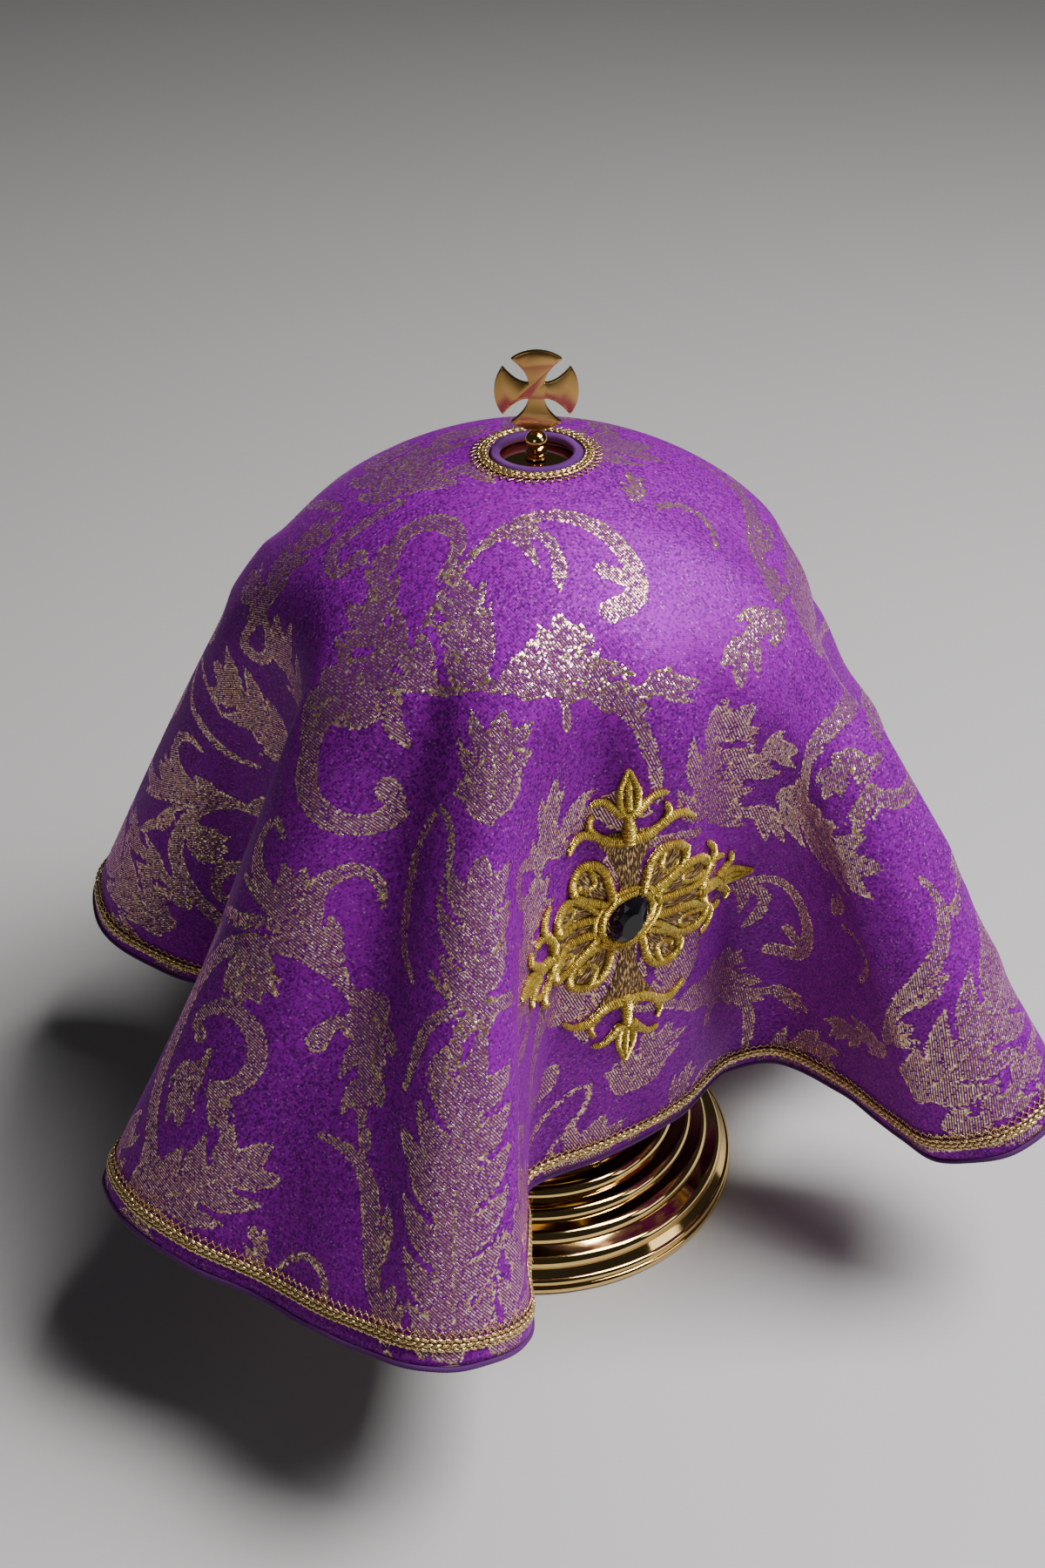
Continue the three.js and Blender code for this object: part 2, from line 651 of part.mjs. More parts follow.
addPiece('veil', veilCloth(), 'brocade');
addPiece('neck_binding', neckBinding(), 'binding');
addPiece('neck_braid', neckBraid(), 'goldThread');
addPiece('hem_braid', hemBraid(), 'goldThread');
addPiece('hem_binding', hemBinding(), 'binding');
addPiece('cross_applique', crossApplique(), 'goldThread');
addPiece('cross_stone', crossStone(), 'stone');
addPiece('foot', ciboriumFoot(), 'gold');
addPiece('stem', ciboriumStem(), 'gold');
addPiece('cup', ciboriumCup(), 'gold');
addPiece('lid', ciboriumLid(), 'gold');
addPiece('finial_stem', finialStem(), 'gold');
addPiece('finial_cross', finialCross(), 'gold');

export default group;
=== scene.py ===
import math
import bpy
import numpy as np
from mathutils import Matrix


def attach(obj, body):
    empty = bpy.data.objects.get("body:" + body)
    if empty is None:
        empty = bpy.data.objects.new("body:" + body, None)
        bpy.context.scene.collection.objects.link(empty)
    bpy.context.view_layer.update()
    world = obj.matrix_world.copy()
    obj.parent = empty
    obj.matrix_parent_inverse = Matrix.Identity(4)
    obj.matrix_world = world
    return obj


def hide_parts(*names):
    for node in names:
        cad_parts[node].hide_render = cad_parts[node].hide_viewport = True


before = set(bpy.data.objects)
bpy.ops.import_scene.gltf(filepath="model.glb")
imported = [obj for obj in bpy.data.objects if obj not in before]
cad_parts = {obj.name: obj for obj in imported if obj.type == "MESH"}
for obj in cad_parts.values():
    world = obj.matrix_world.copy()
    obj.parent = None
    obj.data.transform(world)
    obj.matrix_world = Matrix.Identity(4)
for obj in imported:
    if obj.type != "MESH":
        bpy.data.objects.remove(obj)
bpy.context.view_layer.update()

# Camera: a 50 mm lens half a metre in front of the vessel and as far above the table,
# looking down on the crown and the front fold.
camera_data = bpy.data.cameras.new("camera")
camera_data.lens = 50
camera_data.sensor_width = 36
camera = bpy.data.objects.new("camera", camera_data)
camera.location = (-0.0035, -0.5098, 0.4853)
camera.rotation_euler = (math.radians(55.9), 0, 0)
bpy.context.scene.collection.objects.link(camera)
bpy.context.scene.camera = camera

# Brocade face: one round of purple satin with a gold acanthus figure, cut 0.5 m across,
# with a small neck hole. It lies on the dome of the lid and falls from there in seven
# uneven folds. A tighter bend stands over each valley and a wider one over each crest.
MM = 0.001                   # sizes are in mm, and places handed to Blender in metres
CUT_RADIUS = 250
NECK_RADIUS = 12.3
FACE_EDGE = 247.6            # where the face ends under the overlocked edge
FALL_LENGTH = 247            # from the middle of the crown down to the lowest cloth
CLOTH_THICKNESS = 1.8        # face and lining together
CROWN_TOP = 243.5
CROWN_RADIUS = 96            # of the round crown that lies on the lid's dome
CROWN_EDGE = math.radians(38)
CROWN_CENTRE_Z = CROWN_TOP - CROWN_RADIUS
CROWN_REACH = CROWN_RADIUS * math.sin(CROWN_EDGE)
CROWN_PATH = CROWN_RADIUS * CROWN_EDGE
FAN_EASE = 0.14              # how late the folds start to lean sideways under the crown
FIRST_TURN_MERIDIAN = 227    # bearing of the flat cloth's first meridian, in degrees
CURVE_STEPS = 24             # steps of the hem between two of its turns
LEAVING_SLOPES = (math.radians(20), math.radians(115))
HALVINGS = 40                # rounds in which the slope where a fall leaves is narrowed down
FALLS = 7200                 # falls worked out round the hem; the others are read between
SHARE_STEP = 0.0006          # half a step round the hem and down the cloth, to read its slope
DISTANCE_STEP = 0.8
CREASE_FULL = 0.28           # a crease is full this far to each side of its middle
CREASE_FADE = 18             # how quickly it fades past that

# turn of the hem, bearing from +X in degrees, reach from the axis, bend at the crown (mm)
HEM_TURNS = [
    ("left fold tuck", 204, 116, 70),
    ("left fold edge", 212, 140, 80),
    ("left fold corner", 220, 145.5, 75),
    ("left fold face", 229, 143.5, 58),
    ("front groove", 238.5, 139, 32),
    ("front fold left", 250, 145.8, 56),
    ("front fold crest", 259, 151, 75),
    ("front fold right", 265, 144, 70),
    ("front fold lip", 269.6, 128, 50),
    ("front fold under", 270, 106, 42),
    ("front fold root", 268.5, 84, 36),
    ("cross panel left", 268, 65, 34),
    ("cross panel middle", 291, 56.5, 40),
    ("cross panel right", 320, 55.5, 40),
    ("cross panel valley", 346, 60, 34),
    ("right fold root", 351.5, 74, 40),
    ("right fold flank", 343.8, 94.4, 50),
    ("right fold low side", 334, 116.5, 60),
    ("right fold corner", 330, 131, 62),
    ("right fold crest", 331.5, 150, 72),
    ("right fold tip", 338, 159.5, 75),
    ("right fold back", 345, 155, 62),
    ("right fold tuck", 352, 128, 50),
    ("side valley", 357, 82, 36),
    ("side fold flank", 6, 92, 45),
    ("side fold corner", 11, 116, 50),
    ("side fold crest", 16, 134, 54),
    ("side fold back", 25, 142, 54),
    ("side fold tuck", 34, 128, 50),
    ("back right root", 37, 94, 40),
    ("back right valley", 42, 66, 34),
    ("back right hollow", 54, 58, 32),
    ("back right flank", 66, 74, 40),
    ("back right corner", 62, 112, 60),
    ("back right crest", 63, 144, 80),
    ("back right tip", 69, 157, 85),
    ("back right back", 77, 150, 75),
    ("back right tuck", 81, 118, 50),
    ("back middle root", 79, 84, 38),
    ("back middle valley", 88, 60, 32),
    ("back middle hollow", 104, 58, 32),
    ("back left flank", 113, 80, 40),
    ("back left corner", 106, 118, 60),
    ("back left crest", 107, 146, 80),
    ("back left tip", 113, 156, 85),
    ("back left back", 121, 153, 75),
    ("back left tuck", 125, 122, 50),
    ("back left root", 123, 90, 38),
    ("back left valley", 132, 62, 32),
    ("far left root", 150, 62, 34),
    ("far left flank", 155, 92, 55),
    ("far left corner", 149, 126, 80),
    ("far left crest", 152, 148, 92),
    ("far left tip", 159.5, 150.5, 95),
    ("far left low side", 166.5, 139.5, 90),
    ("far left back", 168.8, 118, 70),
    ("far left tuck", 169, 94, 50),
    ("left valley", 178, 66, 34),
    ("left hollow", 204, 60, 32),
    ("left fold flank", 212, 82, 40),
]

# Soft troughs (depth above 0) and ridges (below 0) pressed into the falls.
# Each runs from one place of the flat cloth to another: meridian in degrees counted from
# the first turn, and distance from the centre; then width and depth (mm)
CREASES = [
    ("front groove", (19, 104), (31, 240), 11, 3.0),
    ("front ridge", (37, 104), (42, 240), 9, -1.5),
    ("left valley", (338, 84), (331, 200), 13, 2.0),
    ("under the cross, left", (52, 160), (57, 236), 9, 1.6),
    ("under the cross, middle", (66, 176), (68, 238), 8, -1.4),
    ("under the cross, right", (76, 166), (80, 230), 10, 1.5),
    ("beside the cross", (84, 110), (92, 190), 11, 1.2),
    ("front fold, left flank", (22, 92), (24, 176), 13, 1.5),
    ("front fold, right flank", (44, 100), (48, 240), 20, 7.0),
    ("shoulder, front", (50, 62), (58, 104), 12, 1.4),
    ("shoulder, right", (94, 40), (106, 96), 10, -1.2),
    ("crown, left", (352, 46), (6, 84), 13, 1.2),
    ("crown, right", (104, 34), (120, 88), 12, 1.0),
    ("left fold", (6, 150), (4, 226), 12, 1.3),
    ("right fold crest", (110, 112), (110, 175), 16, -4.5),
    ("right fold crest, low", (110, 172), (110, 206), 16, -1.6),
    ("side fold crest", (148, 146), (148, 217), 16, -4.0),
    ("shoulder, far right", (150, 80), (141, 106), 15, 2.4),
    ("shoulder, far left", (303, 80), (310, 106), 14, -1.6),
    ("back right fold", (196, 130), (200, 222), 12, 1.2),
    ("back left fold", (252, 120), (256, 220), 12, 1.3),
    ("far left fold", (306, 110), (311, 226), 13, 1.4),
]


def hem_curve():
    """Smooth closed line through the turns of the hem: x, y and bend, in mm."""
    corners = []
    for _, bearing, reach, bend in HEM_TURNS:
        angle = math.radians(bearing)
        corners.append((reach * math.cos(angle), reach * math.sin(angle), bend))
    corners = np.array(corners)
    count = len(corners)
    curve = []
    for i in range(count):
        near = [corners[(i + k) % count] for k in (-1, 0, 1, 2)]
        gaps = [math.sqrt(np.linalg.norm((b - a)[:2])) for a, b in zip(near, near[1:])]
        t1 = gaps[0]
        t2 = t1 + gaps[1]
        t3 = t2 + gaps[2]
        for k in range(CURVE_STEPS):
            t = t1 + (t2 - t1) * k / CURVE_STEPS
            a1 = ((t1 - t) * near[0] + t * near[1]) / t1
            a2 = ((t2 - t) * near[1] + (t - t1) * near[2]) / (t2 - t1)
            a3 = ((t3 - t) * near[2] + (t - t2) * near[3]) / (t3 - t2)
            b1 = ((t2 - t) * a1 + t * a2) / t2
            b2 = ((t3 - t) * a2 + (t - t1) * a3) / (t3 - t1)
            curve.append(((t2 - t) * b1 + (t - t1) * b2) / (t2 - t1))
    curve.append(curve[0])
    return np.array(curve)


hem = hem_curve()
hem_steps = np.linalg.norm(np.diff(hem[:, :2], axis=0), axis=1)
hem_along = np.concatenate([[0], np.cumsum(hem_steps)])
hem_length = hem_along[-1]


def crown_profile(slope, bend):
    """Radius, height and path from the top where the crown has a slope: round as far as
    the crown's edge, and then bent over its own radius."""
    inset = CROWN_RADIUS - bend
    on_crown = slope <= CROWN_EDGE
    radius = np.where(on_crown, CROWN_RADIUS * np.sin(slope),
                      inset * math.sin(CROWN_EDGE) + bend * np.sin(slope))
    height = np.where(on_crown, CROWN_RADIUS * np.cos(slope),
                      inset * math.cos(CROWN_EDGE) + bend * np.cos(slope))
    path = np.where(on_crown, CROWN_RADIUS * slope, CROWN_PATH + bend * (slope - CROWN_EDGE))
    return radius, CROWN_CENTRE_Z + height, path


def leaving_slope(reach, bend):
    """Slope at which a fall leaves the bend, so that its straight rest ends at the hem."""
    low, high = (np.full_like(reach, slope) for slope in LEAVING_SLOPES)
    for _ in range(HALVINGS):
        slope = (low + high) / 2
        radius, _, path = crown_profile(slope, bend)
        short = radius + (FALL_LENGTH - path) * np.cos(slope) > reach
        low = np.where(short, slope, low)
        high = np.where(short, high, slope)
    return (low + high) / 2


# The falls are worked out once, close together round the hem, and read between
fall_shares = np.arange(FALLS + 1) / FALLS
fall_x, fall_y, fall_bend = (
    np.interp(fall_shares * hem_length, hem_along, hem[:, k]) for k in range(3))
fall_reach = np.hypot(fall_x, fall_y)
fall_slope = leaving_slope(fall_reach, fall_bend)
fall_edge = crown_profile(fall_slope, fall_bend)
fall_bearing = np.arctan2(fall_y, fall_x)
fall_apart = fall_bearing - fall_shares * 2 * math.pi - math.radians(FIRST_TURN_MERIDIAN)
fall_drift = (fall_apart + math.pi) % (2 * math.pi) - math.pi
fall_hem_z = fall_edge[1] - (FALL_LENGTH - fall_edge[2]) * np.sin(fall_slope)
fall_table = np.stack([fall_bend, fall_reach, fall_slope, *fall_edge, fall_drift, fall_hem_z])


def smooth_fall(share, distance):
    """Points of the outer face before creasing, by share of the hem and cut distance."""
    place = (share % 1.0) * FALLS
    low = np.minimum(place.astype(int), FALLS - 1)
    row = fall_table[:, low] + (fall_table[:, low + 1] - fall_table[:, low]) * (place - low)
    bend, reach, slope, edge_radius, edge_z, edge_path, drift, hem_z = row
    bent = np.where(distance <= CROWN_PATH, distance / CROWN_RADIUS,
                    CROWN_EDGE + (distance - CROWN_PATH) / bend)
    radius, height, _ = crown_profile(np.minimum(bent, slope), bend)
    down = np.clip((distance - edge_path) / (CUT_RADIUS - edge_path), 0, 1)
    falling = distance > edge_path
    radius = np.where(falling, edge_radius + (reach - edge_radius) * down, radius)
    height = np.where(falling, edge_z + (hem_z - edge_z) * down, height)
    fan = np.clip((distance - CROWN_PATH) / (CUT_RADIUS - CROWN_PATH), 0, 1)
    fan = fan * fan * (1 + FAN_EASE) / (fan + FAN_EASE)
    turned = fan * reach / ((1 - fan) * CROWN_REACH + fan * reach)
    angle = share * 2 * math.pi + math.radians(FIRST_TURN_MERIDIAN) + drift * turned
    return np.stack([radius * np.cos(angle), radius * np.sin(angle), height], axis=-1)


def unit(vectors):
    return vectors / np.linalg.norm(vectors, axis=-1, keepdims=True)


def across_and_down(surface, share, distance):
    """Ways round the hem and down the cloth at each place, and the outward normal."""
    side = surface(share + SHARE_STEP, distance) - surface(share - SHARE_STEP, distance)
    down = surface(share, distance + DISTANCE_STEP) - surface(share, distance - DISTANCE_STEP)
    return side, down, unit(np.cross(down, side))


def flat_spot(meridian, distance):
    angle = math.radians(meridian)
    return distance * np.array([math.cos(angle), math.sin(angle)])


def crease_depth(share, distance):
    x = distance * np.cos(share * 2 * math.pi)
    y = distance * np.sin(share * 2 * math.pi)
    depth = np.zeros_like(x)
    for _, start, end, width, deep in CREASES:
        root = flat_spot(*start)
        way = flat_spot(*end) - root
        along = ((x - root[0]) * way[0] + (y - root[1]) * way[1]) / (way @ way)
        off = ((x - root[0]) * way[1] - (y - root[1]) * way[0]) / np.linalg.norm(way)
        past = np.clip(np.abs(along - 0.5) - CREASE_FULL, 0, None)
        depth += deep * np.exp(-past ** 2 * CREASE_FADE) * np.exp(-(off / width) ** 2)
    return depth


def cloth_face(share, distance):
    """Points of the outer face with its creases, in mm."""
    _, _, normal = across_and_down(smooth_fall, share, distance)
    return smooth_fall(share, distance) - normal * crease_depth(share, distance)[..., None]


def cloth_at(share, distance, lift):
    """Points at a height over the outer face, in metres."""
    share = np.asarray(share, float)
    distance = np.asarray(distance, float) + 0 * share
    _, _, normal = across_and_down(cloth_face, share, distance)
    lift = np.asarray(lift, float) + 0 * share
    return (cloth_face(share, distance) + normal * lift[..., None]) * MM


def flat_place(share, distance):
    """Place in the flat cloth, in mm: x along the gold weft and y along the warp."""
    angle = share * 2 * math.pi + math.radians(FIRST_TURN_MERIDIAN - 315)
    return np.stack([distance * np.cos(angle), distance * np.sin(angle)], axis=-1)


def mesh_piece(name, points, faces, material, uv=None):
    """A new piece from points and faces, with uv given for each point."""
    mesh = bpy.data.meshes.new(name)
    mesh.from_pydata(points.tolist(), [], faces)
    if uv is not None:
        layer = mesh.uv_layers.new(name="UVMap")
        corners = np.zeros(len(mesh.loops), int)
        mesh.loops.foreach_get("vertex_index", corners)
        layer.data.foreach_set("uv", uv[corners].ravel())
    mesh.polygons.foreach_set("use_smooth", [True] * len(mesh.polygons))
    mesh.materials.append(material)
    mesh.update()
    piece = bpy.data.objects.new(name, mesh)
    bpy.context.scene.collection.objects.link(piece)
    return piece


def sheet_rings(rings):
    """Closed skin over rings of points. Each ring is (distance, lift, columns), and the
    columns of neighbours are equal or twice as many."""
    starts = []
    shares = []
    distances = []
    lifts = []
    total = 0
    for distance, lift, columns in rings:
        starts.append(total)
        shares.append(np.arange(columns) / columns)
        distances.append(np.full(columns, float(distance)))
        lifts.append(np.full(columns, float(lift)))
        total += columns
    faces = []
    for k in range(len(rings)):
        n = (k + 1) % len(rings)
        first, second = starts[k], starts[n]
        many, few = rings[k][2], rings[n][2]
        if many == few:
            for j in range(many):
                i = (j + 1) % many
                faces.append((first + j, second + j, second + i, first + i))
        elif many < few:
            for j in range(many):
                i = (j + 1) % many
                a, b, c = second + 2 * j, second + 2 * j + 1, second + (2 * j + 2) % few
                faces.append((first + j, a, b))
                faces.append((first + j, b, first + i))
                faces.append((first + i, b, c))
        else:
            for j in range(few):
                i = (j + 1) % few
                a, b, c = first + 2 * j, first + 2 * j + 1, first + (2 * j + 2) % many
                faces.append((a, second + j, b))
                faces.append((b, second + j, second + i))
                faces.append((b, second + i, c))
    share = np.concatenate(shares)
    distance = np.concatenate(distances)
    return share, distance, cloth_at(share, distance, np.concatenate(lifts)), faces


def rows_between(start, end, step):
    return list(np.linspace(start, end, max(2, round(abs(end - start) / step) + 1)))


# zone: distances where it starts and ends, columns round it, step between rows (mm)
FACE_THICKNESS = 0.85
OUTER_ZONES = [(NECK_RADIUS, 66, 256, 2.1), (66, 138, 512, 1.9), (138, FACE_EDGE, 1024, 1.8)]
INNER_ZONES = [(FACE_EDGE, 244, 1024, 3.6), (240, 236, 512, 4), (230, NECK_RADIUS, 256, 8)]
face_rings = []
for start, end, columns, step in OUTER_ZONES:
    rows = rows_between(start, end, step)
    face_rings += [(row, 0, columns) for row in (rows if end == FACE_EDGE else rows[:-1])]
for start, end, columns, step in INNER_ZONES:
    face_rings += [(row, -FACE_THICKNESS, columns) for row in rows_between(start, end, step)]
face_share, face_distance, face_points, face_faces = sheet_rings(face_rings)
face_flat = flat_place(face_share, face_distance)

# Figure of the brocade, one repeat drawn in mm. The drawing lies with its y axis
# down the front fold: x grows to the right and y away from the centre of the cloth.
# leaf: spine from root to tip, half width, lobes on each side, sides drawn (L, R or both)
LEAVES = [
    ("ground leaf", [(-46, 236), (-33, 231), (-20, 221), (-8, 206)], 9.8, 4, "both"),
    ("ground leaf, low", [(-46, 214), (-44, 222), (-39, 231), (-36, 239)], 3.4, 1, "left"),
    ("pendant palm", [(-28, 156), (-26, 162), (-22, 170)], 6.2, 3, "both"),
    ("pendant palm, side", [(-31, 158), (-32, 164), (-29, 171)], 2.6, 1, "left"),
    ("fan leaf", [(-5, 153), (-14, 147), (-21, 140), (-26, 131)], 5.8, 3, "both"),
    ("fan leaf, left", [(-10, 151), (-25, 148), (-38, 149), (-51, 149)], 3.0, 2, "right"),
    ("fan blade", [(-10, 150), (-22, 145), (-32, 141), (-43, 136)], 1.8, 0, "both"),
    ("curl leaf, left", [(-34, 192), (-39, 200), (-35, 211)], 4.6, 2, "both"),
    ("curl leaf, right", [(-29, 196), (-25, 201), (-21, 208)], 3.2, 1, "both"),
    ("curl thorn", [(-35, 196), (-33, 191), (-32, 186)], 1.4, 0, "both"),
    ("bell", [(3, 160), (6, 167), (9, 176), (14, 193)], 5.2, 3, "both"),
    ("bell leaf, right", [(10, 168), (14, 174), (18, 186)], 2.4, 1, "left"),
    ("long leaf", [(60, 238), (52, 216), (46, 194), (42, 174), (41, 156)], 11.8, 6, "both"),
    ("thorn", [(50, 199), (40, 195), (33, 192), (26, 187)], 3.2, 0, "both"),
    ("crest leaf", [(37, 149), (32, 138), (29, 127), (26, 115)], 9.0, 3, "both"),
    ("crest leaf, low", [(42, 151), (37, 156), (34, 163), (32, 176)], 2.8, 2, "both"),
    ("stem leaf", [(33, 227), (31, 219), (29, 208)], 2.2, 1, "both"),
    ("foot leaf", [(42, 241), (39, 234), (38, 226)], 3.8, 1, "both"),
    ("foot leaf, right", [(52, 240), (51, 230), (44, 222)], 3.0, 1, "both"),
    ("small leaf", [(-2, 241), (-4, 236), (-8, 230)], 2.8, 1, "both"),
    ("palm leaf", [(25, 106), (23, 97), (21, 90), (20, 80)], 8.4, 3, "both"),
    ("palm leaf, low", [(24, 94), (20, 99), (13, 103)], 3.2, 1, "both"),
    ("scroll leaf", [(-13, 87), (-21, 86), (-28, 82), (-35, 76)], 6.2, 3, "both"),
    ("scroll leaf, left", [(-26, 104), (-31, 97), (-34, 90), (-37, 84)], 3.8, 2, "left"),
    ("scroll leaf, inner", [(-8, 84), (-8, 90), (-2, 95)], 2.4, 0, "both"),
    ("sweep leaf", [(19, 75), (25, 68), (28, 61), (25, 52)], 5.8, 3, "both"),
    ("sweep leaf, upper", [(9, 75), (5, 67), (1, 59), (-2, 50)], 6.0, 3, "both"),
    ("sweep leaf, middle", [(11, 74), (10, 66), (7, 58)], 2.4, 0, "both"),
    ("sweep leaf, left", [(-1, 77), (-12, 72), (-23, 66), (-34, 58)], 6.2, 3, "both"),
    ("sweep leaf, low", [(-4, 79), (-14, 78), (-25, 75), (-36, 67)], 2.8, 1, "right"),
    ("tip leaf", [(27, 60), (31, 56), (36, 55)], 2.8, 1, "both"),
    ("side leaf", [(26, 73), (33, 66), (40, 61), (47, 57)], 4.2, 2, "both"),
    ("side leaf, far", [(46, 68), (52, 61), (58, 55), (66, 49)], 4.2, 2, "both"),
    ("top leaf", [(0, 41), (6, 34), (14, 33), (20, 39), (23, 47)], 3.8, 1, "left"),
    ("top leaf, left", [(-20, 61), (-25, 52), (-28, 41)], 4.2, 2, "both"),
    ("panel leaf", [(70, 152), (66, 138), (61, 126), (62, 112)], 6.6, 3, "both"),
    ("panel leaf, upper", [(56, 110), (60, 98), (68, 90), (78, 84)], 6.2, 3, "both"),
    ("panel leaf, small", [(56, 112), (49, 102), (44, 90)], 4.6, 2, "both"),
    ("low leaf", [(72, 236), (73, 222), (70, 208), (66, 196)], 5.4, 3, "both"),
    ("palmette, left", [(93, 80), (84, 71), (79, 58), (82, 44)], 7.0, 3, "both"),
    ("palmette, middle", [(95, 78), (95, 64), (97, 51), (104, 39)], 6.2, 3, "both"),
    ("palmette, right", [(98, 80), (106, 73), (114, 70), (124, 72)], 4.6, 2, "both"),
    ("top fan", [(76, 12), (73, 24), (72, 34), (75, 45)], 5.4, 2, "both"),
]
# stem: line from root to end, half widths at root, middle and end, end bulb
STEMS = [
    ("curl", [(-28, 198), (-21, 193), (-18, 185), (-22, 177), (-31, 174), (-38, 178), (-40, 182),
              (-37, 184)], 2.2, 2.8, 1.3, 2.5),
    ("arch", [(1, 162), (-8, 156), (-18, 153), (-30, 155), (-40, 161), (-46, 172), (-48, 186),
              (-49, 200), (-46, 214), (-40, 226)], 1.5, 2.9, 2.4, 1.6),
    ("hook, left", [(-18, 146), (-28, 140), (-36, 132), (-37, 124), (-32, 120.5), (-28, 125)],
     1.0, 2.6, 0.8, 0.8),
    ("hook, right", [(-3, 157), (-11, 150), (-15, 142), (-14, 134), (-8, 129.5), (-2, 131),
                     (0.5, 137)], 1.3, 2.8, 0.8, 0.8),
    ("bell curl, left", [(7, 173), (3, 169), (-2, 170), (-4.5, 175.5)], 2.2, 1.8, 2.0, 3.0),
    ("bell curl, right", [(8, 170), (12, 166), (16, 170)], 1.8, 1.4, 1.2, 2.0),
    ("bell knob", [(3, 162), (8, 162)], 3.0, 3.0, 3.0, 3.2),
    ("bead", [(16, 194), (16.8, 197)], 1.6, 1.8, 1.8, 1.8),
    ("crescent", [(1, 200), (8, 199), (16, 201), (22, 207), (26, 216), (30, 226), (37, 236)],
     0.5, 2.8, 2.0, 2.0),
    ("hem loop", [(3, 239), (7, 233), (13, 231), (18, 234), (21, 241)], 0.9, 1.1, 1.0, 1.0),
    ("leaf rim, left", [(17, 151), (10, 144), (7, 132), (6, 120), (9, 109)], 0.9, 1.5, 0.9, 0.9),
    ("leaf rim, right", [(11, 107), (16, 113), (18, 123), (18, 132)], 0.9, 1.0, 0.6, 0.6),
    ("crest stalk", [(47, 147), (38, 151), (29, 151), (22, 147)], 2.0, 1.4, 0.7, 0.7),
    ("stalk", [(24, 178), (25, 168), (26, 160), (31, 154)], 0.8, 1.6, 1.5, 1.5),
    ("scroll", [(-9, 84), (-20, 85), (-27, 92), (-28, 102), (-25, 111), (-17, 117), (-7, 117),
                (-2, 112), (-5, 107)], 1.6, 3.4, 2.4, 3.2),
    ("sweep", [(-15, 84), (-7, 80), (2, 79.5), (11, 76), (19, 74), (25, 66)], 0.8, 1.3, 1.8, 1.8),
    ("left arc", [(-25, 44), (-22, 37), (-15, 34), (-8, 37), (-6, 44), (-8, 51)],
     1.8, 2.8, 0.9, 0.9),
    ("crown arc", [(-1, 42), (4, 33), (12, 26), (22, 24), (32, 27), (39, 33), (41, 40), (37, 46)],
     0.8, 2.2, 3.0, 3.0),
    ("crown arc, inner", [(37, 30), (36, 36), (31, 36)], 2.0, 1.6, 2.2, 2.4),
    ("crown arc, root", [(-8, 64), (-5, 52), (-1, 42)], 1.0, 1.0, 1.0, 1.0),
    ("side hook", [(48, 68), (40, 67), (36, 72), (39, 77)], 1.2, 1.6, 1.2, 1.6),
    ("side branch", [(76, 81), (66, 73), (56, 67), (45, 66)], 1.0, 1.9, 1.4, 1.4),
    ("panel stem", [(68, 196), (64, 172), (66, 152), (60, 132), (56, 112), (50, 96)],
     1.2, 2.0, 1.4, 1.4),
    ("panel curl", [(66, 162), (75, 160), (80, 151), (73, 146)], 1.6, 2.2, 1.8, 2.4),
    ("panel curl, left", [(58, 120), (49, 123), (44, 116), (50, 112)], 1.4, 2.0, 1.6, 2.2),
    ("palmette stalk", [(96, 84), (88, 90), (80, 98), (84, 106), (90, 102)], 1.6, 2.0, 1.6, 2.4),
]
DRAWING_AXIS = math.radians(250 - 315)      # the drawing's y axis in the flat cloth
REPEAT_ACROSS = (137.0, 0.0)                # half-drop repeat, along weft and warp
REPEAT_DROP = (68.5, 224.0)
MOTIF_MIDDLE = (10, 140)                    # of one repeat; only repeats that come this near
MOTIF_REACH = 460                           # the cloth's centre can touch it
LEAF_MARGIN = 12                            # places past these from a leaf or a stroke skip it
STROKE_MARGIN = 9
VEINED_LEAF = 5.5                           # only leaves of more than this half width, mm
NO_VEIN = 9.0                               # distance noted where no vein is near
GROUND_DEPTH = -30.0                        # depth noted where no stroke is near
LEAF_POINTS = 61
LEAF_BODY = 0.42                            # half width of a lobed leaf's body, as a share
LOBED_LENGTH = 0.86                         # share of the leaf's length that has the lobes


def smooth_line(points, count):
    """A smooth line through given points, as evenly spaced ones."""
    given = np.array(points, float)
    ends = [2 * given[0] - given[1], *given, 2 * given[-1] - given[-2]]
    fine = []
    for p, q, r, s in zip(ends, ends[1:], ends[2:], ends[3:]):
        for t in np.arange(12) / 12:
            fine.append(0.5 * (2 * q + (r - p) * t + (2 * p - 5 * q + 4 * r - s) * t ** 2
                               + (3 * q - p - 3 * r + s) * t ** 3))
    fine = np.array([*fine, given[-1]])
    along = np.concatenate([[0], np.cumsum(np.linalg.norm(np.diff(fine, axis=0), axis=1))])
    even = np.linspace(0, along[-1], count)
    return np.stack([np.interp(even, along, fine[:, k]) for k in range(fine.shape[1])], axis=-1)


def line_length(line):
    return np.linalg.norm(np.diff(line, axis=0), axis=1).sum()


def pointed(part, power):
    """Width of a lobe along it, as a share: round at the root and narrow at the tip."""
    return np.sin(math.pi * (0.30 + 0.68 * part)) ** power


